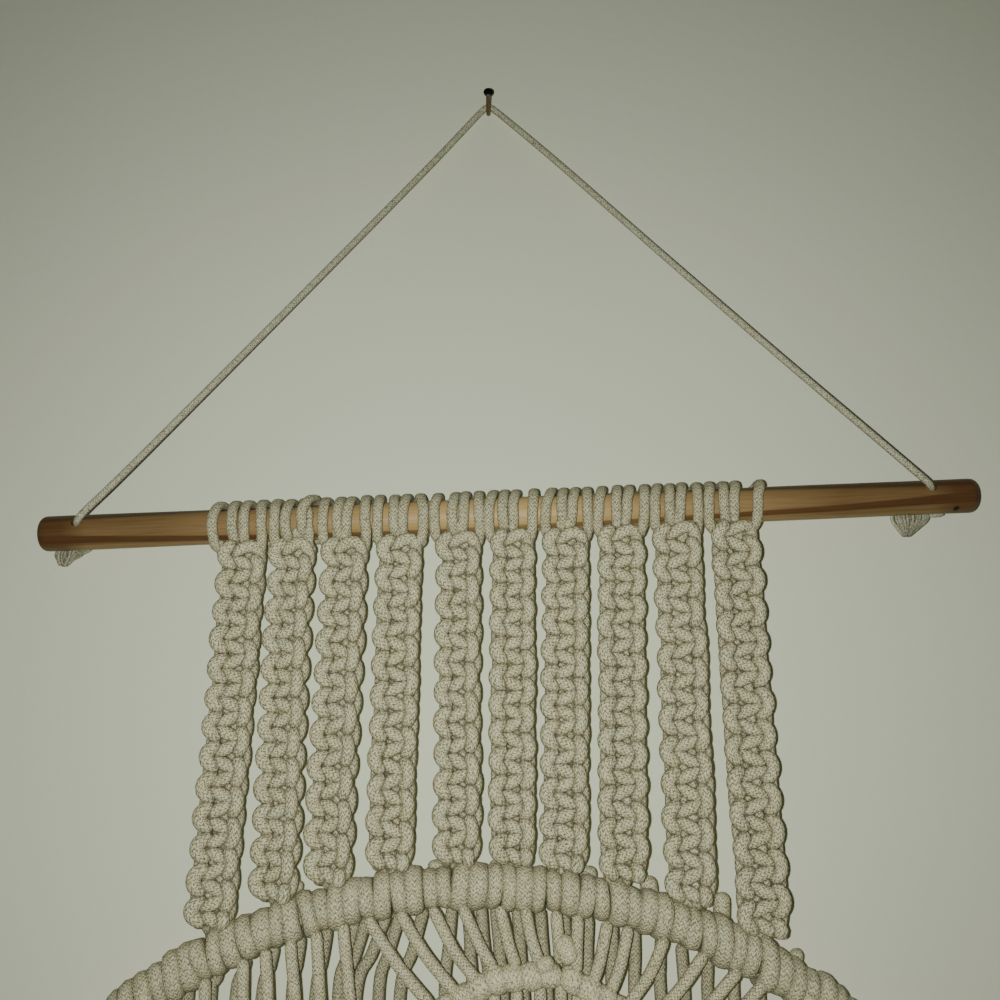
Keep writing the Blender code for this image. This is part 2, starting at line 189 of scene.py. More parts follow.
# Cotton cord: slanted stitches in columns round the cord, with small dark holes between them. The colours
# stand at their shade, from hole to light. The crease shade attribute, 1 where a cord is pressed against
# another, is painted shade in the creases and on the cord's sides.
cotton = {
    "shades": ((0.0, (0.14, 0.132, 0.079)), (0.20, (0.225, 0.217, 0.13)), (0.50, (0.40, 0.392, 0.24)),
               (1.0, (0.74, 0.73, 0.46))),
    # the crease colour is painted shade in creases and on cord sides
    "crease": (0.105, 0.095, 0.06), "creaseShadePower": 2.2, "patchTint": (0.98, 0.93, 0.86),
    "columns": 16, "stitch": 1.95, "slant": 0.8, "wander": 0.9, "relief": 0.42, "fuzz": 1.0, "contrast": 1.0,
    "roughness": 0.92, "glare": 0.15,
    "stitchPeak": 1.6, "stitchDepth": 0.85, "columnDepth": 0.25,
    # scale, detail and roughness of the noises that make wobble, fibre, grain and patches
    "noises": ((420, 1.0), (1400, 1.0, 0.6), (620, 1.0), (90, 3.0)),
    # shares of stitch, fibre and grain in the shade and in the relief
    "middle": 0.62, "fibreShade": 1.8, "grainShade": 0.6, "stitchHigh": 0.7, "fibreHigh": 0.9, "grainHigh": 0.5,
}


def scaled(colour, amount):
    return tuple(np.array(colour) * amount)


def makeCotton(name, tint=1.0, **changes):
    look = {**cotton, **changes}
    made, shader, tools = startMaterial(name, look["roughness"], {"Specular IOR Level": look["glare"]})
    length, turn, _ = tools.node("UVMap", {"uv_map": "cordMap"}).parts()
    place = objectPlace(tools)
    wobble, fibre, grain, patch = (noiseOf(tools, place, *noise) for noise in look["noises"])
    column = turn * look["columns"]
    inColumn = column - column.floor()
    side = column.floor() % 2 * 2 - 1
    phase = length / (look["stitch"] * mm) + side * (inColumn - 0.5) * look["slant"] + wobble * look["wander"]
    lump = ((phase % 1) * 2 - 1).size()
    across = (inColumn * 2 - 1).size()
    # the stitch grooves and column edges give the relief and also darken the colour: painted shade in the
    # grooves and holes between stitches, while fibre, grain and patch noises are the cord's own tone
    stitchTop = ((1 - lump ** look["stitchPeak"] * look["stitchDepth"])
                 * (1 - across ** 4.0 * look["columnDepth"]))
    shade = ((stitchTop - 0.6) * look["contrast"] + (fibre - 0.5) * look["fibreShade"]
             + (grain - 0.5) * look["grainShade"] + look["middle"]).clip()
    base = shade.ramp(*((at, scaled(colour, tint)) for at, colour in look["shades"]))
    toned = (patch * 2.4 - 0.8).clip().blend(base, base.tinted(look["patchTint"]))
    # painted shade: the crease shade attribute darkens creases and cord sides towards the crease colour
    crease = tools.node("Attribute", {"attribute_name": "crease"}, None, 2).clip() ** look["creaseShadePower"]
    plug(shader, "Base Color", crease.blend(toned, scaled(look["crease"], tint)))
    plugBump(shader, stitchTop * look["stitchHigh"] + fibre * look["fibreHigh"] * look["fuzz"]
             + grain * look["grainHigh"] * look["fuzz"], look["relief"] * mm)
    return made


# geometry helpers
gridStore = {}


def gridMesh(along, around):
    # a unit grid with its uv map, kept so that equal tubes share one
    key = (along, around)
    if key not in gridStore:
        bm = bmesh.new()
        bm.loops.layers.uv.new("cordMap")
        bmesh.ops.create_grid(bm, x_segments=along, y_segments=around, size=0.5, calc_uvs=True)
        mesh = meshOf("grid", bm)
        mesh.attributes.new("tube", 'INT', 'POINT')
        mesh.attributes.new("station", 'INT', 'POINT')
        uv = np.empty(2 * len(mesh.loops))
        mesh.uv_layers[0].data.foreach_get("uv", uv)
        gridStore[key] = (mesh, uv.reshape(-1, 2).copy())
    return gridStore[key]


def unit(rows):
    return rows / np.maximum(np.linalg.norm(rows, axis=-1, keepdims=True), 1e-12)


def arcLength(points):
    return np.concatenate([[0.0], np.cumsum(np.linalg.norm(np.diff(points, axis=0), axis=1))])


def resample(points, stations):
    s = arcLength(points)
    return np.stack([np.interp(stations, s, points[:, k]) for k in range(3)], 1)


def catmullRom(padded, steps):
    t = np.linspace(0, 1, steps + 1)[:-1, None]
    rows = []
    for a, b, c, d in zip(padded, padded[1:], padded[2:], padded[3:]):
        rows.append(0.5 * (2 * b + (c - a) * t + (2 * a - 5 * b + 4 * c - d) * t ** 2
                           + (3 * b - a - 3 * c + d) * t ** 3))
    return np.vstack(rows)


def smoothPath(points, spacing):
    # even points on a Catmull-Rom curve
    points = np.asarray(points, float)
    padded = np.vstack([2 * points[0] - points[1], points, 2 * points[-1] - points[-2]])
    fine = np.vstack([catmullRom(padded, 12), padded[-2:-1]])
    total = arcLength(fine)[-1]
    return resample(fine, np.linspace(0, total, max(3, round(total / spacing) + 1)))


slantedAxis = (0.31, 0.92, 0.24)        # no cord sets out along it


def transportFrames(points, facing=None):
    # the facing rows turned square to the path, or, without them, one start direction carried along it
    tangent = unit(np.gradient(points, axis=0))
    if facing is None:
        normal = np.empty_like(points)
        start = np.cross(tangent[0], slantedAxis)
        current = start / np.linalg.norm(start)
        for k, axis in enumerate(tangent):
            current = current - axis * current.dot(axis)
            current = current / math.sqrt(current.dot(current))
            normal[k] = current
    else:
        normal = np.broadcast_to(facing, points.shape)
        normal = unit(normal - tangent * (normal * tangent).sum(1, keepdims=True))
    return normal, np.cross(tangent, normal)


tubes = []                                       # every tube of the piece that is being built
endSteps = np.array([0.0, 0.07, 0.28, 0.6])      # stations of a rounded end, as shares of its length


def addTube(bm, points, radius, sides=10, flat=None, facing=None, closed=False, shift=0.0):
    # points in metres; radius is half the width, flat half the thickness along facing; shift moves the stitches
    points = np.asarray(points, float)
    radius = np.broadcast_to(radius, len(points)).astype(float)
    thick = radius if flat is None else np.broadcast_to(flat, len(points)).astype(float)
    s = arcLength(points)
    if not closed:
        tip = min(radius[0], s[-1] * 0.3)
        steps = tip * endSteps
        inner = s[(s > tip * 0.95) & (s < s[-1] - tip * 0.95)]
        stations = np.concatenate([steps, inner, s[-1] - steps[::-1]])
        depth = np.clip(np.minimum(stations, s[-1] - stations) / tip, 0, 1)
        ease = np.sqrt(np.clip(1 - (1 - depth) ** 2, 0, 1))
        points = resample(points, stations)
        radius = np.interp(stations, s, radius) * ease
        thick = np.interp(stations, s, thick) * ease
        if facing is not None and np.ndim(facing) == 2:
            facing = np.stack([np.interp(stations, s, facing[:, k]) for k in range(3)], 1)
        s = stations
    if closed:
        ends = np.vstack([points[-2], points, points[1]])
        normal, across = transportFrames(ends, np.vstack([facing[-2], facing, facing[1]]))
        normal, across = normal[1:-1], across[1:-1]
    else:
        normal, across = transportFrames(points, facing)
    angle = np.arange(sides + 1) / sides * 2 * math.pi
    ring = (np.cos(angle)[:, None, None] * (across * radius[:, None])[None]
            + np.sin(angle)[:, None, None] * (normal * thick[:, None])[None])
    co = points[None] + ring
    co[-1] = co[0]
    if closed:
        co[:, -1] = co[:, 0]
    mesh, uv = gridMesh(len(points) - 1, sides)
    mesh.vertices.foreach_set("co", co.reshape(-1))
    lengths = uv.copy()
    index = np.clip(np.round(uv[:, 0] * (len(points) - 1)).astype(int), 0, len(points) - 1)
    lengths[:, 0] = s[index] + shift
    mesh.uv_layers[0].data.foreach_set("uv", lengths.reshape(-1))
    station = np.tile(np.arange(len(points)), sides + 1)
    mesh.attributes["tube"].data.foreach_set("value", np.full(len(station), len(tubes)))
    mesh.attributes["station"].data.foreach_set("value", station)
    tubes.append((points, s, normal, across, np.maximum(thick, 1e-6), np.maximum(radius, 1e-6), closed))
    bm.from_mesh(mesh)


def newSolid():
    tubes.clear()
    bm = bmesh.new()
    bm.loops.layers.uv.new("cordMap")
    bm.verts.layers.int.new("tube")
    bm.verts.layers.int.new("station")
    return bm


# painted shade: how far the painted crease shade reaches, and how dark the painted shade on a cord's sides is
creaseShadeReach = 1.15      # how far a crease's shade reaches from the touching cord
sidePaintedShade = 0.75         # the shade of a cord's sides


def findCreaseShade(co, tube, station, block=20):
    # painted crease shade: for each vertex, 1 where another cord touches it and 0 from the reach away, its own
    # near part left out
    reach = creaseShadeReach * mm
    firsts = np.cumsum([0] + [len(row[0]) for row in tubes])
    points, arc, normal, across, thick, wide = (np.concatenate([row[k] for row in tubes]) for k in range(6))
    owner = np.repeat(np.arange(len(tubes)), np.diff(firsts))
    loop = np.repeat([row[1][-1] if row[6] else 9.0 for row in tubes], np.diff(firsts))
    place = firsts[tube] + station
    order = np.argsort(place // block, kind="stable")
    cuts = np.flatnonzero(np.diff((place // block)[order])) + 1
    crease = np.zeros(len(co))
    spread = max(wide.max(), thick.max()) + reach
    for part in np.split(order, cuts):
        low, high = co[part].min(0) - spread, co[part].max(0) + spread
        near = np.flatnonzero(np.all((points > low) & (points < high), axis=1))
        away = co[part][:, None] - points[near][None]
        distance = np.sqrt((away ** 2).sum(2))
        relative = np.sqrt(((away * normal[near]).sum(2) / thick[near]) ** 2
                           + ((away * across[near]).sum(2) / wide[near]) ** 2 + 1e-9)
        gap = np.maximum(distance * (1 - 1 / relative), distance - wide[near])
        apart = np.abs(arc[near] - arc[place[part]][:, None])
        apart = np.minimum(apart, np.abs(loop[near] - apart))
        own = (owner[near] == tube[part][:, None]) & (apart < 5 * wide[near])
        gap[own | (np.maximum(thick, wide)[near] < 1e-5)] = 1
        crease[part] = np.clip(1 - gap.min(1) / reach, 0, 1)
    # painted shade: the sides of a cord are painted darker than its front
    out = unit(co - points[place])
    return np.maximum(crease, sidePaintedShade * (1 - np.abs(out[:, 1])))


def finishSolid(name, bm, material, node, merge=1e-6, creaseShadeShare=1.0):
    bmesh.ops.remove_doubles(bm, verts=bm.verts, dist=merge)
    bmesh.ops.recalc_face_normals(bm, faces=bm.faces)
    mesh = meshOf(name, bm)
    if "tube" in mesh.attributes:
        co = np.empty(3 * len(mesh.vertices))
        mesh.vertices.foreach_get("co", co)
        marks = []
        for extra in ("tube", "station"):
            marks.append(np.empty(len(mesh.vertices), int))
            mesh.attributes[extra].data.foreach_get("value", marks[-1])
        # painted shade in creases and on cord sides, stored as an attribute for the cotton
        crease = mesh.attributes.new("crease", 'FLOAT', 'POINT')
        crease.data.foreach_set("value", findCreaseShade(co.reshape(-1, 3), *marks) * creaseShadeShare)
        for extra in ("tube", "station"):
            mesh.attributes.remove(mesh.attributes[extra])
    mesh.polygons.foreach_set("use_smooth", [True] * len(mesh.polygons))
    mesh.materials.append(material)
    piece = addObject(name, mesh)
    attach(piece, "root")
    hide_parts(node)
    return piece


def waves(count, seed, reach):
    # a seeded smooth wobble of count points, in three directions; reach is its wavelength in points
    pick = np.random.default_rng(seed)
    t = np.arange(count)
    total = np.zeros((count, 3))
    for k in range(3):
        phase = pick.uniform(0, 2 * math.pi, 3)
        rate = 2 * math.pi / reach * (0.6 + 0.8 * k) * pick.uniform(0.85, 1.15, 3)
        total += np.sin(t[:, None] * rate + phase) / (1 + k)
    return total


knotCotton = makeCotton("cottonKnots", 0.89)
headCotton = makeCotton("cottonHeads", 0.77)

# the cord that hangs the rod, over its nail, and the knots that stop it below the rod
hanger = {
    "diameter": 3.8, "sides": 14, "spacing": 2.5,
    "route": (
        (-212.2, -13.4, -271.4), (-212.2, -17.4, -269.6), (-212.2, -21.5, -267.7), (-212.2, -25.6, -265.8),
        (-211.9, -28.8, -264.3), (-210.8, -31.2, -262.9), (-208.6, -32.6, -260.8), (-205.6, -32.9, -257.2),
        (-189.6, -30.5, -237.9), (-145.3, -24.0, -182.0), (-85.3, -15.2, -105.7), (-35.6, -7.9, -42.1),
        (-7.3, -3.4, -4.4), (-3.9, -3.0, -0.3), (-2.0, -2.8, 2.1), (0.0, -2.75, 3.15), (2.0, -2.8, 2.1),
        (3.9, -3.0, 0.1), (8.9, -3.4, -4.4), (42.3, -7.9, -38.9), (96.0, -15.3, -97.0), (161.3, -24.1, -166.6),
        (210.3, -30.6, -217.7), (227.7, -32.9, -235.9), (231.6, -32.5, -239.3), (234.2, -31.0, -241.5),
        (235.5, -28.8, -242.6), (235.7, -25.6, -243.8), (235.7, -21.5, -245.6), (235.7, -17.4, -247.5),
        (235.7, -13.5, -249.3),
    ),
}
hangerCotton = makeCotton("cottonHanger", (0.74, 0.77, 0.84), columns=12, stitch=1.7, relief=0.26, contrast=0.6)


def makeHangingCord():
    path = smoothPath(np.array(hanger["route"]) * mm, hanger["spacing"] * mm)
    bm = newSolid()
    addTube(bm, path, hanger["diameter"] / 2 * mm, hanger["sides"])
    return finishSolid("hangingCord", bm, hangerCotton, "hanging_cord"), path


stopKnot = {
    # the frayed ends: how many strands, half their fan's width and its shift, how far they hang, where they
    # meet, how far they bulge, their radius, length of the loose tail, how rough they lie
    "fan": {"strands": 18, "half": 8.8, "shift": -0.8, "drop": 14.4, "tip": -2.6, "tipHalf": 0.8,
            "bulge": 0.4, "radius": 0.85, "tail": 9.0, "rough": 0, "seed": 8},
    "bulb": {"strands": 100, "half": 10.4, "shift": -1.0, "drop": 15.0, "tip": -5.4, "tipHalf": 4.8,
             "bulge": 1.5, "radius": 0.6, "tail": 0.0, "rough": 1, "seed": 3},
    "spacing": 1.2, "sides": 8, "tailRadius": 1.6, "creaseShadeShare": 0.8,
}


def makeStopKnot(name, node, kind):
    # strands that leave the rod's underside side by side and run together at the knot's tip
    look = stopKnot[kind]
    low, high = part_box(node)
    half = np.array((high - low) / 2) / mm
    top = np.array((low + high) / 2) / mm
    top[2] = high[2] / mm - 1.0
    pick = np.random.default_rng(look["seed"])
    rough = look["rough"]
    bm = newSolid()

    def addStrand(rows, shift, radius):
        path = smoothPath(np.array(rows) + top + (shift, 0, 0), stopKnot["spacing"])
        addTube(bm, path * mm, radius * mm, stopKnot["sides"])

    for k in range(look["strands"]):
        across = (k + 0.5) / look["strands"] * 2 - 1
        across += rough * pick.uniform(-0.3, 0.3) * (1 - across ** 2)
        forward = pick.uniform(-0.7, 0.7) * half[1] * (1 - 0.4 * abs(across))
        reach = look["drop"] * (1 - 0.45 * rough * max(0.0, across + 0.3)) * (1 - rough * pick.uniform(0, 0.35))
        tip = look["tip"] + across * look["tipHalf"]
        bend = look["bulge"] * across + rough * pick.normal(0, 1.4)
        wide = across * look["half"]
        addStrand([(wide, forward, 0), (wide + bend * 0.6, forward * 1.2 - 0.6, -reach * 0.36),
                   (tip * 0.45 + wide * 0.46 + bend, forward, -reach * 0.70), (tip, forward * 0.4, -reach)],
                  look["shift"], look["radius"] * pick.uniform(0.85, 1.15))
    if look["tail"]:
        half, tail = look["half"], look["tail"]
        addStrand([(half * 0.6, 0, -1.4), (half + tail * 0.4, -0.6, -2.4), (half + tail, -0.2, -1.2)],
                  0, stopKnot["tailRadius"])
    return finishSolid(name, bm, hangerCotton, node, creaseShadeShare=stopKnot["creaseShadeShare"])


hangingCord, hangerPath = makeHangingCord()
leftKnot = makeStopKnot("leftKnot", "knot_left", "bulb")
rightKnot = makeStopKnot("rightKnot", "knot_right", "fan")
print("hanging cord and knots made")

# square knots: the bar cord crosses in front of two straight cords, the side cord loops over it at the edges
knot = {
    "pitch": 14.2, "cord": 6.0, "straightCord": 5.2, "straightX": 2.4,
    "barRadius": 3.3, "sideRadius": 3.15, "straightRadius": 3.4,
    "barPoints": 44, "sidePoints": 60, "straightPoints": 8,
    # how it is drawn tight
    "steps": 80, "pullBars": 0.5, "pullSides": 0.05, "stiff": 0.3, "squeeze": 0.76, "ease": 0.55,
    # how its edges lie afterwards
    "leftCurl": 1.45, "rightCurl": 0.3, "turnFrom": 6.0, "turnShare": 0.6, "leftSwell": 0.6,
    "barWide": 0.88, "sideWide": 1.08,
}
# across, forward and down (as a share of the pitch) for half a knot; the other half mirrors it
barHalf = ((-10.6, -2.0, 0), (-9.3, -0.6, -0.18), (-7.0, 1.6, -0.36), (-4.0, 4.6, -0.40),
           (0.0, 5.6, -0.25), (4.0, 4.6, -0.10), (7.0, 1.6, -0.14), (9.3, -0.6, -0.32))
sideHalf = ((9.6, 5.2, 0), (8.2, 5.6, -0.24), (6.0, 1.8, -0.30), (3.6, -3.6, -0.29),
            (0.0, -5.6, -0.25), (-3.6, -3.6, -0.21), (-6.0, 1.8, -0.20), (-8.2, 5.6, -0.26))


def halfTurned(rows, drop):
    return np.vstack([rows, rows * (-1, 1, 1) - (0, 0, drop)])


def evenLoop(rows, shift, count):
    full = np.vstack([rows, rows[0] + shift])
    return resample(full, np.arange(count) / count * arcLength(full)[-1])


def smoothLoop(rows, shift, count):
    padded = np.vstack([rows[-1] - shift, rows, rows[0] + shift, rows[1] + shift])
    return evenLoop(catmullRom(padded, 24), shift, count)


def lapOf(rows, shift):
    # from each point of an endless cord to the middle of its two neighbours
    before = np.vstack([rows[-1] - shift, rows[:-1]])
    after = np.vstack([rows[1:], rows[0] + shift])
    return (before + after) / 2 - rows


def leftSwell(rows):
    return knot["leftSwell"] * np.clip(-rows[:, 0] / 3 - 1.7, 0, 1)


def settleKnot():
    # one knot of an endless strip, drawn tight: cords shorten and straighten, and push each other apart
    pitch, cord, squeeze, rows = knot["pitch"], knot["cord"], knot["squeeze"], knot["straightPoints"]
    shift = np.array([0, 0, -pitch])
    bar, side = (smoothLoop(halfTurned(np.array(half) * (1, 1, pitch), pitch / 2), shift, count)
                 for half, count in ((barHalf, knot["barPoints"]), (sideHalf, knot["sidePoints"])))
    left = np.stack([np.full(rows, -knot["straightX"]), np.zeros(rows), -pitch * np.arange(rows) / rows], 1)
    straight = np.vstack([left, left * (-1, 1, 1)])
    counts = [len(bar), len(side), rows, rows]
    owner = np.repeat([0, 1, 2, 3], counts)
    index = np.concatenate([np.arange(n) for n in counts])
    count = np.array(counts)[owner]
    isStraight = owner >= 2
    limit = np.full((len(owner), len(owner)), squeeze * cord)
    limit[isStraight[:, None] | isStraight[None]] = squeeze * (cord + knot["straightCord"]) / 2
    limit[isStraight[:, None] & isStraight[None]] = 0
    same = owner[:, None] == owner[None]
    for step in range(knot["steps"]):
        spacing = []
        for cordRows, pull in ((bar, knot["pullBars"]), (side, knot["pullSides"])):
            lap = lapOf(cordRows, shift)
            cordRows += pull * lap + knot["stiff"] * (lap - (np.roll(lap, 1, 0) + np.roll(lap, -1, 0)) / 2)
            spacing.append(arcLength(np.vstack([cordRows, cordRows[0] + shift]))[-1] / len(cordRows))
        spacing = np.array(spacing + [pitch / rows] * 2)[owner]
        for again in range(2):
            points = np.vstack([bar, side, straight])
            push = np.zeros_like(points)
            hits = np.zeros(len(points))
            for copy in (-1, 0, 1):
                apart = points[:, None] - (points[None] + copy * shift)
                distance = np.sqrt((apart ** 2).sum(2))
                run = np.abs(index[:, None] - (index[None] + copy * count[None])) * spacing[:, None]
                hit = (distance < limit) & ~(same & (run < 1.5 * cord)) & (distance > 1e-6)
                weight = np.where(hit, (limit - distance) / np.maximum(distance, 1e-6), 0)
                push += 0.5 * (apart * weight[:, :, None]).sum(1)
                hits += hit.sum(1)
            push /= np.maximum(1, hits * knot["ease"])[:, None]
            bar += push[:len(bar)]
            side += push[len(bar):len(bar) + len(side)]
        bar, side = evenLoop(bar, shift, len(bar)), evenLoop(side, shift, len(side))
        for cordRows in (bar, side):
            half = len(cordRows) // 2
            mirrored = np.vstack([cordRows[half:], cordRows[:half] + shift]) * (-1, 1, 1) + (0, 0, pitch / 2)
            cordRows[:] = (cordRows + mirrored) / 2
    for again in range(4):
        for cordRows in (bar, side):
            cordRows += 0.5 * lapOf(cordRows, shift)
    # the lobes curl in at their ends, over the first bar's turn at the left edge
    left = side[:, 0] < 0
    level = (side[:, 2] + np.where(left, 0, pitch / 2)) % pitch - pitch / 2
    curl = np.where(left, knot["leftCurl"], knot["rightCurl"]) * np.clip((level / (pitch / 4)) ** 2, 0, 1.5)
    side[:, 0] -= np.sign(side[:, 0]) * curl * np.clip((side[:, 1] - 2) / 4, 0, 1)
    side[:, 0] += leftSwell(side)
    beyond = np.minimum(bar[:, 0] + knot["turnFrom"], 0)
    bar[:, 0] -= beyond * (1 - knot["turnShare"])
    return bar * (knot["barWide"], 1, 1), side * (knot["sideWide"], 1, 1)


strips = {
    "drift": 0.16, "headForward": 3.6, "headRadius": 1.9, "sides": 10, "spacing": 1.25, "seed": 40,
    "creaseShadeShare": 0.95,
    "belowRod": 10.5, "overRing": 0.5, "knotWidth": 24.3, "lobeFrom": 7.6, "lobeShare": 0.66,
    # how far knots stray and differ in width, and how a strip narrows: over how many knots, and by what share
    "stray": 0.35, "unevenWide": 0.018,
    "footKnots": 0.75, "footSlim": 0.30, "headKnots": 0.8, "headSlim": 0.06,
    # x at the rod, x at the ring, width, turn of the right side towards the room, knots
    "rows": (
        (-124.6, -128.2, 24.2, 0, 13), (-97.8, -97.6, 23.8, 18, 12), (-70.3, -72.3, 24.2, 16, 11),
        (-43.6, -43.7, 23.6, 0, 11), (-11.6, -10.0, 23.0, 15, 11), (15.0, 15.4, 23.0, 0, 12),
        (44.4, 41.6, 24.0, 14, 12), (71.3, 68.9, 24.6, 0, 12), (102.2, 102.6, 25.4, 16, 12),
        (130.6, 135.2, 26.8, 0, 13),
    ),
    # how each cord leaves its heading's lane: share of the lane's x, then across, forward and down
    "barHead": ((0.9, 0, 4.6, -0.6), (0, -9.6, 4.0, 2.4)),
    "sideHead": ((0.97, 0, 5.2, -0.4), (0.6, 3.6, 3.4, 2.8), (0, 7.2, 0.4, 4.0)),
    "straightHead": ((0.85, 0, 8.2, -5.6), (0.75, 0, 5.4, -1.8)),
    # how it ends behind the ring: across, forward and up from the last knot
    "foot": ((5.5, -4.5, 0.5), (3.4, -9.0, -4.0), (2.4, -10.0, -9.0)),
    "straightFoot": ((2.4, -5.0, -3.0), (2.4, -10.0, -8.0)),
    "barStarts": -0.30, "sideStarts": 4.5, "straightStarts": -3,
}


def makeStrip(number, row, lanes, bar, side):
    xRod, xRing, width, turn, knots = row
    pitch = knot["pitch"]
    top = rodHeight(xRod) - strips["belowRod"]
    end = ringHeight(xRing, layout["ringRadius"] + layout["ringTube"]) + strips["overRing"]
    wide = width / strips["knotWidth"]
    pick = np.random.default_rng(strips["seed"] + number)
    turned = math.radians(turn)
    stray = pick.normal(0, strips["stray"], (knots + 2, 3))
    widths = 1 + pick.normal(0, strips["unevenWide"], knots + 2)

    def place(local, seed):
        # local rows are across, forward and down in one strip's own frame
        level = np.clip(-local[:, 2] / pitch, 0, knots)
        cell = level.astype(int)
        part = level - cell
        blend = part * part * (3 - 2 * part)
        local = local + stray[cell] * (1 - blend)[:, None] + stray[cell + 1] * blend[:, None]
        local[:, 0] *= widths[cell] * (1 - blend) + widths[cell + 1] * blend
        local += waves(len(local), seed, 30) * strips["drift"]
        beyond = np.abs(local[:, 0]) - strips["lobeFrom"]
        lobe = np.sign(local[:, 0]) * (strips["lobeFrom"] + beyond * strips["lobeShare"])
        local[:, 0] = np.where(beyond > 0, lobe, local[:, 0]) * wide
        low = np.clip((level - (knots - strips["footKnots"])) / strips["footKnots"], 0, 1)
        high = np.clip(1 - level / strips["headKnots"], 0, 1)
        local[:, 0] *= (1 - strips["footSlim"] * low ** 2) * (1 - strips["headSlim"] * high)
        local[:, 1] += strips["headForward"] * high ** 1.5
        z = top + local[:, 2] / pitch * (top - end) / knots
        share = np.clip((top - z) / (top - end), 0, 1)
        x = xRod + share * (xRing - xRod) + local[:, 0] * math.cos(turned) - local[:, 1] * math.sin(turned)
        y = layout["stripY"] - local[:, 0] * math.sin(turned) - local[:, 1] * math.cos(turned)
        return np.stack([x, y, z], 1) * mm

    def leaving(lane, table):
        # points of the strip's own frame that place() brings to the table's points
        points = []
        for share, across, forward, down in strips[table]:
            x = (lane * share + across) / ((1 - strips["headSlim"]) * wide)
            beyond = abs(x) - strips["lobeFrom"]
            if beyond > 0:
                x = math.copysign(strips["lobeFrom"] + beyond / strips["lobeShare"], x)
            points.append((x, forward - strips["headForward"], -down))
        return points

    def ending(sign, table):
        return np.array(strips[table]) * (sign, 1, 1) - (0, 0, knots * pitch)

    down = np.array([0, 0, -pitch])
    bm = newSolid()
    bars, sides = (np.vstack([rows + k * down for k in range(knots)]) for rows in (bar, side))
    # the bar starts under the left strand's end, the side cord goes from the right one behind the first bar
    bars = bars[np.argmax(bars[:, 2] < strips["barStarts"] * pitch):]
    sides = sides[np.argmax(sides[:, 0] < strips["sideStarts"]):]
    runs = [(leaving(lane, kind + "Head"), body, ending(np.sign(body[-1, 0]) or 1, "foot"),
             knot[kind + "Radius"])
            for lane, kind, body in ((lanes[0], "bar", bars), (lanes[3], "side", sides))]
    for sign, lane in ((-1, lanes[1]), (1, lanes[2])):
        body = np.stack([np.full(knots * 6, sign * knot["straightX"]), np.zeros(knots * 6),
                         np.linspace(strips["straightStarts"], -knots * pitch, knots * 6)], 1)
        runs.append((leaving(lane, "straightHead"), body, ending(sign, "straightFoot"), knot["straightRadius"]))
    for k, (*rows, radius) in enumerate(runs):
        local = smoothPath(np.vstack(rows), strips["spacing"])
        if k == 1:
            radius = radius + leftSwell(local)
        swell = np.clip(np.arange(len(local)) / 9, 0, 1)
        radius = strips["headRadius"] + (radius - strips["headRadius"]) * swell
        addTube(bm, place(local, 100 * number + k), radius * mm, strips["sides"], shift=0.37 * k + number)
    finishSolid(f"strip{number:02d}", bm, knotCotton, f"strip_{number:02d}",
                creaseShadeShare=strips["creaseShadeShare"])


# headings: two folded cords to each strip, hitched over the rod
heading = {
    "wide": 2.8, "thick": 2.15, "seat": 11.3, "barSeat": 15.6, "barAngle": -128, "sides": 12, "spacing": 1.6,
    "wave": 0.22, "crossing": 3.6, "seed": 70, "creaseShadeShare": 0.7,
    # x of each strip's four strands from its middle: where they cross the rod's front, and on the rod's top
    "lanes": (
        (-15.6, -5.6, 0.8, 9.7), (-10.7, -5.2, 4.0, 6.6), (-13.2, -5.7, -0.5, 9.1), (-11.5, -3.0, 1.9, 12.5),
        (-13.9, -4.7, 1.4, 9.4), (-12.0, -5.3, 0.4, 10.6), (-11.9, -3.8, 1.6, 9.7), (-11.7, -2.5, 3.1, 12.1),
        (-12.9, -5.3, 0.2, 9.3), (-13.5, -5.5, 0.0, 12.4),
    ),
    "tops": (
        (-14.2, -6.4, 0.2, 7.8), (-11.0, -3.9, 9.0, 1.8), (-12.7, -5.2, 0.6, 8.2), (-11.4, -3.9, 3.2, 9.5),
        (-12.5, -3.3, 2.1, 8.9), (-9.7, -3.8, 2.4, 11.3), (-8.0, -1.8, 4.1, 10.4), (-8.5, -0.5, 6.2, 13.7),
        (-10.1, -3.6, 2.3, 10.6), (-10.7, -4.2, 2.9, 15.7),
    ),
    "backLanes": (-9.0, -3.0, 3.0, 9.0),
    # a strand over the rod: shares of its x at the back, top and front, degrees up from the rod's front,
    # how far it stands off its seat, share of the lift where strands cross
    "over": ((1, 0, 0, 238, 0.2, 0), (1, 0, 0, 215, 0, 0), (1, 0, 0, 180, 0, 0), (0.6, 0.4, 0, 140, 0, 0),
             (0.1, 0.9, 0, 118, 0, 0), (0, 1, 0, 96, 0, 0), (0, 0.8, 0.2, 66, 0, 0.5), (0, 0.4, 0.6, 36, 0, 1),
             (0, 0, 1, 12, 0, 1)),
    # its end below, for an outer and an inner strand: share of its x at the front, outward, degrees,
    # seat (0 for the strand's own), share of the lift
    "outer": ((1, 0, -12, 0, 0), (0.9, 1.3, -38, 0, 0), (0.8, 1.7, -60, 14.0, 0), (0, 8.4, -72, 16.5, 0),
              (0, 5.5, -96, 16.6, 0)),
    "inner": ((1, 0, -12, 0, 0.6), (0.86, 0, -36, 0, 0), (0.75, 0, -62, 0, 0), (0.6, 0, -86, 0, 0),
              (0.5, 0, -108, 14.1, 0)),
}


barPath, sidePath = settleKnot()
for number, (row, lanes) in enumerate(zip(strips["rows"], heading["lanes"]), start=1):
    makeStrip(number, row, lanes, barPath, sidePath)
print("strips made")


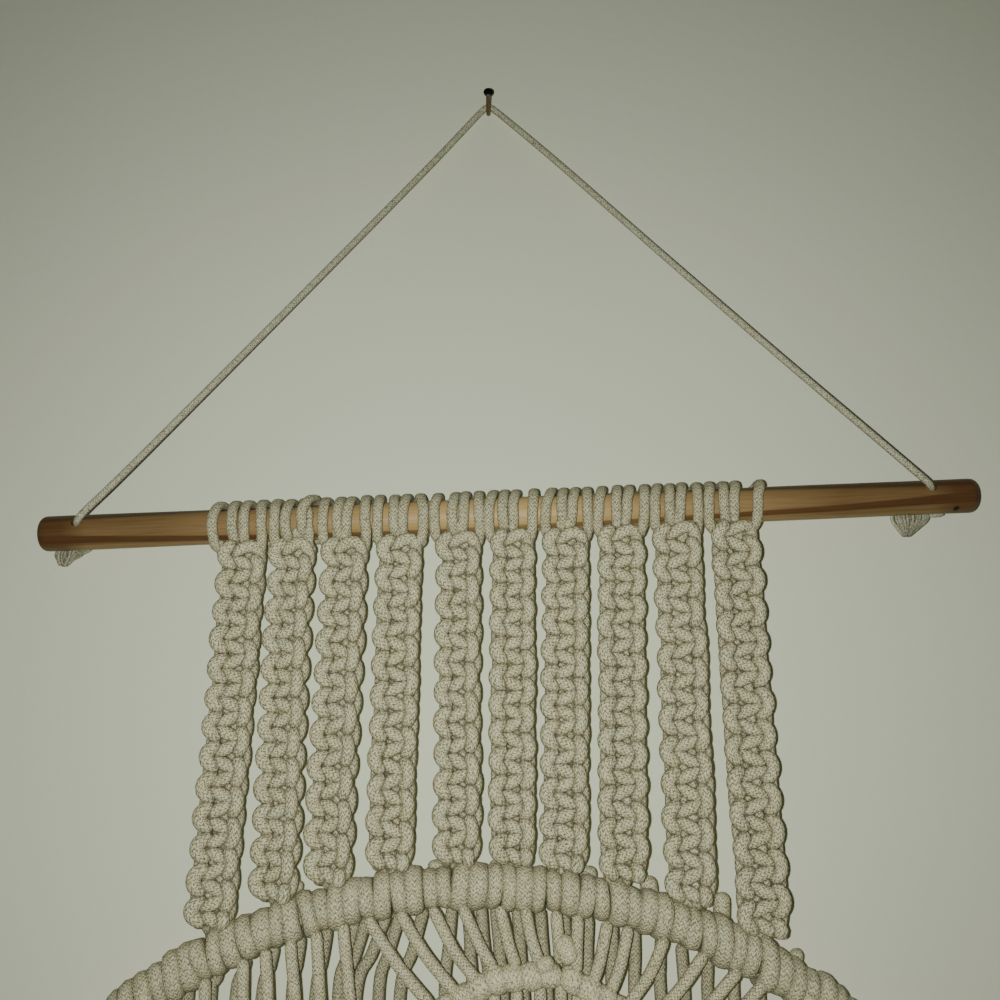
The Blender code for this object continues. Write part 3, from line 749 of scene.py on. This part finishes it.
def makeHeading(number, row, lanes, tops):
    xRod = row[0]
    axisY = layout["rodCentre"][1]
    pick = np.random.default_rng(heading["seed"] + number)
    tilt = math.tan(math.radians(layout["rodTilt"]))
    bm = newSolid()
    for first in (0, 2):
        rows = []
        for strand in (first, first + 1):
            lane, top, back = lanes[strand], tops[strand], heading["backLanes"][strand]
            seat = heading["seat"] + pick.uniform(-0.1, 0.25)
            lift = heading["crossing"] if top - lane > 4 else 0
            half = [(back * a + top * b + lane * c, angle, seat + out + lift * share)
                    for a, b, c, angle, out, share in heading["over"]]
            half += [(lane * a + math.copysign(out, lane), angle, (own or seat) + lift * share)
                     for a, out, angle, own, share in heading["outer" if strand in (0, 3) else "inner"]]
            half.append((back * 0.6, heading["barAngle"], heading["barSeat"]))
            rows += half if strand == first else half[::-1]
        x, angle, radius = np.array(rows).T
        angle = np.radians(angle)
        points = np.stack([xRod + x, axisY - radius * np.cos(angle),
                           rodHeight(xRod) + x * tilt + radius * np.sin(angle)], 1)
        path = smoothPath(points, heading["spacing"])
        path += waves(len(path), 900 + 10 * number + first, 26) * heading["wave"] * (1, 0.3, 0.3)
        middle = np.stack([path[:, 0], np.full(len(path), axisY), rodHeight(path[:, 0])], 1)
        addTube(bm, path * mm, heading["wide"] * mm, heading["sides"], flat=heading["thick"] * mm,
                facing=unit(path - middle), shift=0.5 * first + number)
    finishSolid(f"heading{number:02d}", bm, headCotton, f"heading_{number:02d}",
                creaseShadeShare=heading["creaseShadeShare"])


for number, (row, lanes, tops) in enumerate(zip(strips["rows"], heading["lanes"], heading["tops"]), start=1):
    makeHeading(number, row, lanes, tops)
print("headings made")

# ring: a hoop wrapped all round with half hitches, in pairs
ring = {
    "wraps": 240, "wrapWide": 9.3, "wrapThick": 6.0, "slant": 14.0, "bow": 5.0, "pairShare": 0.06,
    "unevenPlace": 0.035, "unevenWide": 0.11, "unevenSeat": 0.48, "unevenLean": 5.5, "lump": 0.45,
    "around": 22, "across": 8, "core": 5.2, "coreSides": 8, "tailSides": 12, "creaseShadeShare": 0.75, "seed": 11,
    "squeeze": (1.5, 2.6),      # how far the left and right sides lie inside the circle
    # cord ends tucked behind the ring: x, how far the end shows over the outer edge, lean in degrees, radius
    "tails": ((-89.0, 5.5, 25, 2.9), (-22.0, 2.2, 0, 4.3), (54.0, 3.4, 12, 4.2), (82.5, 5.6, -8, 4.5),
              (118.5, 11.0, 6, 4.2), (154.0, 3.4, 15, 3.4), (8.0, 1.6, 0, 4.0)),
    # a tucked end's route: share of its lean, forward, up from the outer edge, share of what shows
    "tailRoute": ((-9, 14.0, -10, 0), (-5, 14.6, -5, 0), (0, 16.5, -1.0, 1)),
}
ringCotton = makeCotton("cottonRing", 0.88, columns=20, stitch=1.8, contrast=0.7)


def ringPoint(angle, radius, forward):
    # angle is clockwise from the top, radius from the ring's centre, forward towards the room
    radius -= ring["squeeze"][math.sin(angle) > 0] * math.sin(angle) ** 2
    return np.array([layout["ringX"] + radius * math.sin(angle), layout["stripY"] - forward,
                     layout["ringZ"] + radius * math.cos(angle)])


def makeRing():
    pick = np.random.default_rng(ring["seed"])
    bm = newSolid()
    hoop = layout["ringRadius"]
    seat = layout["ringTube"] - ring["wrapThick"] / 2
    for k in range(ring["wraps"]):
        pair = (-0.5 if k % 2 else 0.5) * ring["pairShare"]
        middle = (k + 0.5 + pair + pick.normal(0, ring["unevenPlace"])) / ring["wraps"] * 2 * math.pi
        tilt = math.radians(pick.normal(0, ring["unevenLean"]) - ring["slant"] * math.sin(2 * middle))
        bow = math.radians(ring["bow"] + pick.normal(0, ring["unevenLean"]))
        wide = ring["wrapWide"] * (1 + pick.normal(0, ring["unevenWide"])) / 2
        reach = seat + pick.normal(0, ring["unevenSeat"])
        lump = pick.uniform(0, 2 * math.pi)
        points, facing = [], []
        for turn in np.linspace(0, 2 * math.pi, ring["around"] + 1):
            local = reach + ring["lump"] * math.sin(2 * turn + lump)
            lean = (math.tan(tilt) * math.sin(turn) + math.tan(bow) * math.cos(turn)) * seat / hoop
            inner, outer = (ringPoint(middle + lean, hoop + r * math.sin(turn), r * math.cos(turn))
                            for r in (local, local + 1))
            points.append(inner)
            facing.append(outer - inner)
        addTube(bm, np.array(points) * mm, wide * mm, ring["across"], flat=ring["wrapThick"] / 2 * mm,
                facing=np.array(facing), closed=True, shift=k * 0.173)
    loop = np.array([ringPoint(a, hoop, 0) for a in np.linspace(0, 2 * math.pi, 121)])
    addTube(bm, loop * mm, ring["core"] * mm, ring["coreSides"], closed=True,
            facing=np.broadcast_to((0.0, 1.0, 0.0), loop.shape))
    for k, (x, lift, lean, radius) in enumerate(ring["tails"]):
        edge = ringHeight(x, hoop + layout["ringTube"])
        tilt = math.tan(math.radians(lean))
        rows = [(x + a * tilt, -forward, edge + up + lift * share)
                for a, forward, up, share in ring["tailRoute"]]
        addTube(bm, smoothPath(rows, 1.2) * mm, radius * mm, ring["tailSides"], shift=k * 0.31)
    finishSolid("wrappedRing", bm, ringCotton, "ring", creaseShadeShare=ring["creaseShadeShare"])


makeRing()
print("ring made")

# net: front cords down to the two thick rows, back cords through to the ring's foot, and the curtain below
net = {
    "radius": 3.0, "backRadius": 2.9, "sides": 10, "sway": 0.35, "spacing": 3.5,
    "backBend": -492.0, "backPitch": 10.9, "curtainPitch": 13.2,
    "armLine": ((-134, -557.0), (-20, -497.0), (-4, -488.5), (8, -482.4), (39, -479.6), (68.5, -496.2),
                (110, -521.6)),
    # x at the ring, x at the thick row
    "front": (
        (-128.5, -121.0), (-111.2, -105.5), (-101.0, -93.5), (-89.4, -81.5), (-77.3, -69.5), (-64.7, -56.5),
        (-53.5, -22.0), (-38.3, -11.0), (-22.6, -1.0), (-8.3, 7.5), (9.3, 18.0), (21.7, 29.0), (36.4, 38.5),
        (46.8, 46.0), (61.1, 53.5), (71.0, 61.5), (88.0, 70.0), (106.6, 80.0), (122.4, 90.5), (133.8, 101.0),
    ),
    # x at the ring, x at the bend
    "back": (
        (-137.0, -139.0), (-124.5, -128.0), (-111.5, -116.0), (-98.5, -103.5), (-86.2, -89.5),
        (-73.5, -78.0), (-60.5, -67.5), (-54.5, -64.0), (-45.0, -58.5), (-38.5, -47.8), (-27.0, -38.0),
        (-13.5, -16.5), (-6.5, -3.0), (0.5, 4.5), (7.5, 11.5), (17.8, 21.8), (29.3, 33.0), (41.0, 42.5),
        (52.7, 52.3), (64.5, 63.5), (74.8, 74.2), (87.5, 86.3), (97.0, 98.0), (110.0, 109.4),
        (122.0, 121.5), (134.0, 134.0),
    ),
}
frontCotton = makeCotton("cottonFront", 0.9, contrast=0.75)
# the back cords' cotton is the same cotton made darker: painted shade for the layer behind the front cords
backCottonShaded = makeCotton("cottonBackShaded", 0.63, contrast=0.8)


def armHeight(x):
    xs, zs = zip(*net["armLine"])
    return float(np.interp(x, xs, zs))


def swaying(points, seed, amount=net["sway"]):
    path = smoothPath(np.array(points, float), net["spacing"])
    drift = waves(len(path), seed, 24) * amount
    ease = np.minimum(1, np.minimum(np.arange(len(path)), np.arange(len(path))[::-1]) / 4)[:, None]
    return (path + drift * ease * (1, 0.6, 0)) * mm


def makeNet(name, node, routes, material, seed, shift):
    radius = net["backRadius" if name == "backNet" else "radius"]
    bm = newSolid()
    for k, rows in enumerate(routes):
        addTube(bm, swaying(rows, seed + k), radius * mm, net["sides"], shift=k * shift)
    finishSolid(name, bm, material, node)


def between(start, end, shares):
    return [tuple(a + (b - a) * share for a, b in zip(start, end)) for share in shares]


def frontRoute(xRing, xArm):
    y = layout["stripY"] - layout["layerOffset"]
    start, low = ringHeight(xRing, layout["layerTop"] + 2.5), armHeight(xArm)
    return [(xRing, y + 1.5, start), (xRing + (xArm - xRing) * 0.1, y - 0.4, start - (start - low) * 0.1),
            (xRing * 0.5 + xArm * 0.5, y - 0.3, (start + low) / 2), (xArm, y, low + 4.5)]


def backRoute(k, xRing, xBend):
    y = layout["stripY"] + layout["layerOffset"]
    start = ringHeight(xRing, layout["layerTop"] + 2.0)
    xFoot = layout["ringX"] + (k - (len(net["back"]) - 1) / 2) * net["backPitch"]
    bend, foot = (xBend, y, net["backBend"]), (xFoot, y, ringHeight(xFoot, layout["layerTop"] + 1.0, -1))
    return [(xRing, y - 1.0, start), ((xRing + xBend) / 2, y, (start + net["backBend"]) / 2),
            bend] + between(bend, foot, np.linspace(0, 1, 8)[1:])


def curtainRoute(k, xArm):
    y = layout["stripY"] - layout["layerOffset"]
    x = net["front"][0][1] + k * net["curtainPitch"]
    top, foot = armHeight(xArm) - 4.0, ringHeight(x, layout["layerTop"] + 1.0, -1)
    below = between((xArm, y, top), (x, y, foot), np.linspace(0.15, 1, 8))
    return [(xArm, y + 0.5, top), (xArm * 0.93 + x * 0.07, y, top - 14)] + below


arms = {
    "wrapWide": 12.5, "pitch": 8.6, "thick": 6.8, "radius": 6.5, "slant": 12.0, "around": 24, "across": 12,
    "core": 4.4, "gap": 1.0, "sunk": 0.35, "knobSides": 14, "creaseShadeShare": 0.55, "seeds": (5, 6),
    "unevenPlace": 0.06, "unevenSlant": 4, "unevenSeat": 0.22, "unevenWide": 0.07,
    # round knobs at the top, where both rows meet: x, z, half length, radius, lean in degrees
    "knobs": ((31.1, -475.9, 4.6, 4.6, 80), (41.0, -468.6, 6.8, 4.9, -24)),
}
armCotton = makeCotton("cottonRows", 1.02, columns=30, stitch=1.8, fuzz=1.6, relief=0.3, contrast=0.6)


def makeArm(name, node, line, seed, knobs):
    y = layout["stripY"] - layout["layerOffset"]
    pick = np.random.default_rng(seed)
    path = smoothPath(np.array([(x, y, z) for x, z in line]), 1.0)
    s = arcLength(path)
    normal, across = transportFrames(path, np.array((0.0, -1.0, 0.0)))
    bm = newSolid()
    inside = s[-1] - 2 * arms["gap"]
    count = int(inside / arms["pitch"])
    turns = np.linspace(0, 2 * math.pi, arms["around"] + 1)[:, None]
    for k in range(count):
        at = (arms["gap"] + arms["wrapWide"] / 3 + (k + pick.normal(0, arms["unevenPlace"]))
              * (inside - arms["wrapWide"] / 1.5) / (count - 1))
        middle = np.array([np.interp(at, s, path[:, i]) for i in range(3)])
        index = min(int(np.searchsorted(s, at)), len(s) - 1)
        axis = unit(np.cross(normal[index], across[index]))
        axis *= math.copysign(1, axis.dot(path[-1] - path[0]))
        slant = math.tan(math.radians(arms["slant"] + pick.normal(0, arms["unevenSlant"])))
        seat = arms["radius"] - arms["thick"] / 2 + pick.normal(0, arms["unevenSeat"]) - arms["sunk"] * (k % 2)
        out = normal[index] * np.cos(turns) + across[index] * np.sin(turns)
        points = middle + out * seat + axis * slant * seat * np.sin(turns)
        wide = arms["wrapWide"] / 2 * (1 + pick.normal(0, arms["unevenWide"]))
        addTube(bm, points * mm, wide * mm, arms["across"], flat=arms["thick"] / 2 * mm, facing=out,
                closed=True, shift=k * 0.19)
    inner = path[(s > 2.0) & (s < s[-1] - 2.0)]
    addTube(bm, inner * mm, arms["core"] * mm, 8)
    for x, z, reach, radius, lean in knobs:
        turn = math.radians(lean)
        side = np.array([math.sin(turn), 0, math.cos(turn)]) * reach
        middle = np.array([x, y - 1.4, z])
        line = smoothPath([middle - side, middle, middle + side], 0.9)
        addTube(bm, line * mm, radius * mm, arms["knobSides"])
    finishSolid(name, bm, armCotton, node, creaseShadeShare=arms["creaseShadeShare"])


makeNet("frontNet", "net_front", [frontRoute(*ends) for ends in net["front"]], frontCotton, 1200, 0.27)
makeNet("backNet", "net_back", [backRoute(k, *ends) for k, ends in enumerate(net["back"])],
        backCottonShaded, 1400, 0.29)
makeNet("curtain", "curtain", [curtainRoute(k, ends[1]) for k, ends in enumerate(net["front"])],
        frontCotton, 1600, 0.23)
apex = max(range(len(net["armLine"])), key=lambda k: net["armLine"][k][1])
makeArm("leftRow", "arm_left", net["armLine"][:apex + 1], arms["seeds"][0], arms["knobs"])
makeArm("rightRow", "arm_right", net["armLine"][apex:], arms["seeds"][1], ())
print("net made")

# fringe: two cords side by side below each knot of the ring's foot
fringe = {
    "pairs": 20, "pitch": 14.2, "apart": 5.0, "radius": 2.8, "uneven": 3.0, "sunk": 3.0, "offset": 0.3,
    "sides": 10, "sway": 0.4, "seed": 31,
}


def makeFringe():
    bm = newSolid()
    pick = np.random.default_rng(fringe["seed"])
    for k in range(fringe["pairs"]):
        x = layout["ringX"] + (k - (fringe["pairs"] - 1) / 2) * fringe["pitch"]
        trim = layout["fringeEnd"] + fringe["uneven"] * math.sin(2.4 * k)
        for side in (-1, 1):
            xCord = x + side * fringe["apart"] / 2
            start = ringHeight(xCord, layout["ringRadius"] + layout["ringTube"] - fringe["sunk"], -1)
            end = trim + pick.uniform(-0.8, 1.6)
            rows = [(xCord, layout["stripY"] + side * fringe["offset"], z) for z in np.linspace(start, end, 9)]
            path = swaying(rows, 1800 + 2 * k + (side > 0), fringe["sway"])
            addTube(bm, path, fringe["radius"] * mm, fringe["sides"], shift=k * 0.33)
    finishSolid("fringe", bm, frontCotton, "fringe")


makeFringe()
print("fringe made")

# rod: varnished pine, drilled near each end for the hanging cord
rod = {
    "holes": (-226.6, 221.9), "hole": 5.0, "holeDepth": 40, "holeRise": 25.0,
    "edge": 3.4, "edgeSteps": 5, "sides": 64, "rings": 90, "uneven": 0.06, "sharp": 40,
    "coat": 0.08, "glare": 0.12,
    "tan": (0.175, 0.113, 0.045), "warm": (0.140, 0.082, 0.030), "late": (0.084, 0.041, 0.015),
    # the edge colour is painted shade on the rod's upper edge; the pale colour is lighter wood in the middle,
    # partly painted light, and a painted highlight on the lower edge
    "edgePaintedShade": (0.072, 0.045, 0.019), "paleWoodAndPaintedLight": (0.50, 0.365, 0.145), "fineTint": (0.72, 0.66, 0.58),
    "knotColour": (0.012, 0.008, 0.005), "knotSpot": (234.6, -7.7, 0.9),
    # the band of late wood: where it is lowest, how long its bow is, how far it bows and lies down,
    # its lift to the left, half its width in the middle and how that grows, and its strength in the same way
    "band": {"low": -45, "reach": 290, "bow": 0.695, "down": 0.74, "lift": 0.12, "wide": 0.13, "grow": 0.13,
             "strength": 0.5, "gain": 0.55},
    # where the wood is pale in the middle and dark at the ends, in millimetres along the rod; the pale middle is
    # partly lighter wood and partly painted light falling off towards the ends
    "paleReach": 190, "endFrom": 221, "endBlend": 13,
}


def makePine():
    made, shader, tools = startMaterial("varnishedPine", 0.45, {
        "Coat Roughness": 0.42, "Coat IOR": 1.4, "Specular IOR Level": rod["glare"], "Coat Weight": rod["coat"]})
    turned = tools.node("Mapping", {"vector_type": 'TEXTURE'}, {
        0: objectPlace(tools), 1: tuple(Vector(layout["rodCentre"]) * mm),
        2: (0, -math.radians(layout["rodTilt"]), 0)})
    slow = noiseOf(tools, turned, 60, 2.0, 0.5, (0.12, 1, 1)) - 0.5
    fine = noiseOf(tools, turned, 1300, 3.0, 0.6, (0.03, 1, 1))
    streak = noiseOf(tools, turned, 330, 2.0, 0.5, (0.03, 1, 1))
    x, y, z = (part / mm for part in turned.parts())
    # height across the rod, -1 to 1 as seen from a little below; the late wood lies in one long bowed band
    band = rod["band"]
    height = (z * 0.97 - y * 0.24) / layout["rodRadius"] + slow * 0.22
    along = (x - band["low"]) / band["reach"]
    middle = along * along * band["bow"] - band["down"] + (0 - along).clip() * band["lift"]
    spread = ((x + 10) / 235).size()
    width = spread ** 4.0 * band["grow"] + band["wide"]
    late = ((1.2 - (height - middle).size() / width) * 2.6).clip() * (band["strength"] + spread * band["gain"])
    spotX, spotZ, spotSize = rod["knotSpot"]
    base = (streak * 1.5 - 0.35 + slow).clip().blend(rod["tan"], rod["warm"])
    for share, colour in (
            # pale middle: lighter wood, and partly painted light falling off towards the ends
            (0.94 - (x + 4).size() / rod["paleReach"], "paleWoodAndPaintedLight"),
            # painted highlight: paler along the rod's lower edge as seen from a little below
            (((-0.70 - height) * 7).clip() * 0.22, "paleWoodAndPaintedLight"),
            # painted shade: darker along the rod's upper edge as seen from a little below
            ((height - (0.90 - spread * spread * 0.30)) * 9, "edgePaintedShade"),
            (((x.size() - rod["endFrom"]) / rod["endBlend"]).clip() * (0.55 + streak * 0.5), "late"),
            (late, "late"),
            (1.4 - ((x - spotX) ** 2.0 * 0.3 + (z - spotZ) ** 2.0) / spotSize ** 2, "knotColour")):
        base = share.clip().blend(base, rod[colour])
    plug(shader, "Base Color", ((fine - 0.42) * 2.6).clip().blend(base, base.tinted(rod["fineTint"])))
    plug(shader, "Roughness", 0.34 + fine * 0.16)
    plugBump(shader, fine * 0.6 + streak * 0.4, 0.00016, 0.6)
    return made


def makeRod():
    length, radius, half = layout["rodLength"], layout["rodRadius"], layout["rodLength"] / 2
    bm = bmesh.new()
    bmesh.ops.create_circle(bm, cap_ends=True, segments=rod["sides"], radius=radius)
    bmesh.ops.translate(bm, verts=bm.verts, vec=(0, 0, -half))
    bm.faces.ensure_lookup_table()
    face = bm.faces[0]
    for k in range(rod["rings"]):
        grown = bmesh.ops.extrude_face_region(bm, geom=[face], use_keep_orig=k == 0)["geom"]
        face = next(part for part in grown if isinstance(part, bmesh.types.BMFace))
        bmesh.ops.translate(bm, verts=face.verts, vec=(0, 0, length / rod["rings"]))
    bmesh.ops.recalc_face_normals(bm, faces=bm.faces)
    ends = [edge for edge in bm.edges if all(abs(abs(v.co.z) - half) < 0.01 for v in edge.verts)]
    bmesh.ops.bevel(bm, geom=ends, offset=rod["edge"], offset_type='OFFSET', segments=rod["edgeSteps"],
                    profile=0.5, affect='EDGES', material=-1, clamp_overlap=True)
    for vert in bm.verts:
        turn = math.atan2(vert.co.y, vert.co.x)
        wave = math.sin(2 * turn + vert.co.z * 0.021) + math.sin(vert.co.z * 0.05)
        grow = 1 + rod["uneven"] / radius * wave
        vert.co.x *= grow
        vert.co.y *= grow
    bmesh.ops.scale(bm, vec=(mm, mm, mm), verts=bm.verts)
    centre, tilt = Vector(layout["rodCentre"]) * mm, math.radians(layout["rodTilt"])
    bmesh.ops.transform(bm, matrix=Matrix.Translation(centre) @ Matrix.Rotation(math.pi / 2 - tilt, 4, 'Y'),
                        verts=bm.verts)
    piece = finishSolid("woodenRod", bm, makePine(), "rod", merge=1e-7)
    holes = bmesh.new()
    for along in rod["holes"]:
        mouth = centre + Vector((math.cos(tilt), 0, math.sin(tilt))) * along * mm
        bmesh.ops.create_cone(holes, cap_ends=True, segments=32, radius1=rod["hole"] / 2 * mm,
                              radius2=rod["hole"] / 2 * mm, depth=rod["holeDepth"] * mm,
                              matrix=Matrix.Translation(mouth)
                              @ Matrix.Rotation(math.radians(90 - rod["holeRise"]), 4, 'X'))
    cutter = addObject("holes", meshOf("holes", holes))
    cut = piece.modifiers.new("holes", 'BOOLEAN')
    cut.operation = 'DIFFERENCE'
    cut.solver = 'EXACT'
    cut.object = cutter
    bpy.context.view_layer.update()
    drilled = bpy.data.meshes.new_from_object(piece.evaluated_get(bpy.context.evaluated_depsgraph_get()))
    piece.modifiers.clear()
    piece.data = drilled
    bpy.data.objects.remove(cutter, do_unlink=True)
    drilled.polygons.foreach_set("use_smooth", [True] * len(drilled.polygons))
    drilled.set_sharp_from_angle(angle=math.radians(rod["sharp"]))


makeRod()
print("rod made")

# nail: a dark head on a brass-coloured shank
nail = {
    "out": 22.0, "shank": 1.4, "head": 2.8, "headThick": 1.5, "dome": 0.25, "segments": 40, "sharp": 35,
    "scale": 900,
    "shankColours": ((0.3, (0.09, 0.06, 0.03)), (0.7, (0.22, 0.15, 0.07))),
    "headColours": ((0.3, (0.02, 0.018, 0.015)), (0.75, (0.07, 0.055, 0.04))),
}


def makeNail():
    made, shader, tools = startMaterial("nailMetal", 0.35, {"Metallic": 1.0})
    place = objectPlace(tools)
    grime = noiseOf(tools, place, nail["scale"], 3.0)
    out, head, shank, dome = (nail[key] for key in ("out", "head", "shank", "dome"))
    under = out - nail["headThick"]
    darkPart = ((place.parts()[1] * -1 - (under - 0.6) * mm) * 4000).clip()
    shankTone, headTone = (grime.ramp(*nail[key]) for key in ("shankColours", "headColours"))
    plug(shader, "Base Color", darkPart.blend(shankTone, headTone))
    plug(shader, "Roughness", 0.28 + grime * 0.3)
    bm = bmesh.new()
    outline = ((0, out), (head * 0.55, out - dome * 0.4), (head * 0.88, out - dome * 1.4),
               (head, (out + under) / 2), (head * 0.93, under), (shank * 1.15, under - 0.2),
               (shank, under - 0.9), (shank, 10), (shank, 0), (0, 0))
    corners = [bm.verts.new((r, -z, 0)) for r, z in outline]
    edges = [bm.edges.new(pair) for pair in zip(corners, corners[1:])]
    bmesh.ops.spin(bm, geom=corners + edges, cent=(0, 0, 0), axis=(0, 1, 0), angle=2 * math.pi,
                   steps=nail["segments"], use_merge=True)
    bmesh.ops.scale(bm, vec=(mm, mm, mm), verts=bm.verts)
    piece = finishSolid("nailSteel", bm, made, "nail")
    piece.data.set_sharp_from_angle(angle=math.radians(nail["sharp"]))


makeNail()
print("nail made")

# stage and light
stage = {
    "wall": (0.60, 0.64, 0.468), "floor": (0.66, 0.65, 0.62), "wallHalf": 3000.0, "floorHalf": 4000.0,
    "wallBehind": 0.5, "floorHeight": -1600.0, "cloudGain": 1.03,
    "world": (0.94, 1.0, 0.96), "worldStrength": 0.04,
    # lamps beside the camera and behind the wall: place, the point it looks at, size, power
    "frontLamp": ((-13.47, -540.3, -375.26), (0, 0, -260), 9.0, 3.2),
    "backLamp": ((300, 1500, 100), (0, 0, -600), 900, 9),
}


def addStage(name, roughness, scale, detail, half, turn, shift):
    made, shader, tools = startMaterial(name + "Paint", roughness)
    light = tuple(c * stage["cloudGain"] for c in stage[name])
    cloud = noiseOf(tools, objectPlace(tools), scale, detail)
    plug(shader, "Base Color", cloud.ramp((0.3, stage[name]), (0.7, light)))
    bm = bmesh.new()
    bmesh.ops.create_grid(bm, x_segments=1, y_segments=1, size=half * mm)
    bmesh.ops.transform(bm, matrix=Matrix.Translation(Vector(shift) * mm) @ Matrix.Rotation(turn, 4, 'X'),
                        verts=bm.verts)
    mesh = meshOf(name, bm)
    mesh.materials.append(made)
    addObject(name, mesh)
    return shader, tools


def makeStage():
    shader, tools = addStage("wall", 0.9, 3.0, 3.0, stage["wallHalf"], math.pi / 2,
                             (0, stage["wallBehind"], stage["floorHeight"] + stage["wallHalf"]))
    plugBump(shader, noiseOf(tools, objectPlace(tools), 160, 4.0), 0.0004, 0.4)
    # seen from behind, and for the light behind the hanging, the wall is clear
    back, shadow = (Socket(tools.tree, tools.node(kind).link.node.outputs[out])
                    for kind, out in (("NewGeometry", "Backfacing"), ("LightPath", "Is Shadow Ray")))
    mixed = tools.node("MixShader", None, {
        0: back.maths('MAXIMUM', back, shadow), 1: Socket(tools.tree, shader.outputs[0]),
        2: tools.node("BsdfTransparent")})
    output = next(n for n in tools.tree.nodes if n.type == 'OUTPUT_MATERIAL')
    tools.tree.links.new(mixed.link, output.inputs["Surface"])
    addStage("floor", 0.7, 5.0, 2.0, stage["floorHalf"], 0, (0, 0, stage["floorHeight"]))


def addLamp(name):
    place, target, size, power = stage[name]
    lamp = bpy.data.lights.new(name, 'AREA')
    lamp.shape = 'DISK'
    lamp.size = size * mm
    lamp.energy = power
    aim = (Vector(target) - Vector(place)).to_track_quat('-Z', 'Y')
    addObject(name, lamp).matrix_world = Matrix.Translation(Vector(place) * mm) @ aim.to_matrix().to_4x4()


makeStage()
addLamp("frontLamp")
addLamp("backLamp")
world = bpy.data.worlds.new("room")
world.use_nodes = True
background = world.node_tree.nodes["Background"]
background.inputs["Color"].default_value = (*stage["world"], 1)
background.inputs["Strength"].default_value = stage["worldStrength"]
bpy.context.scene.world = world
print("stage and light set")
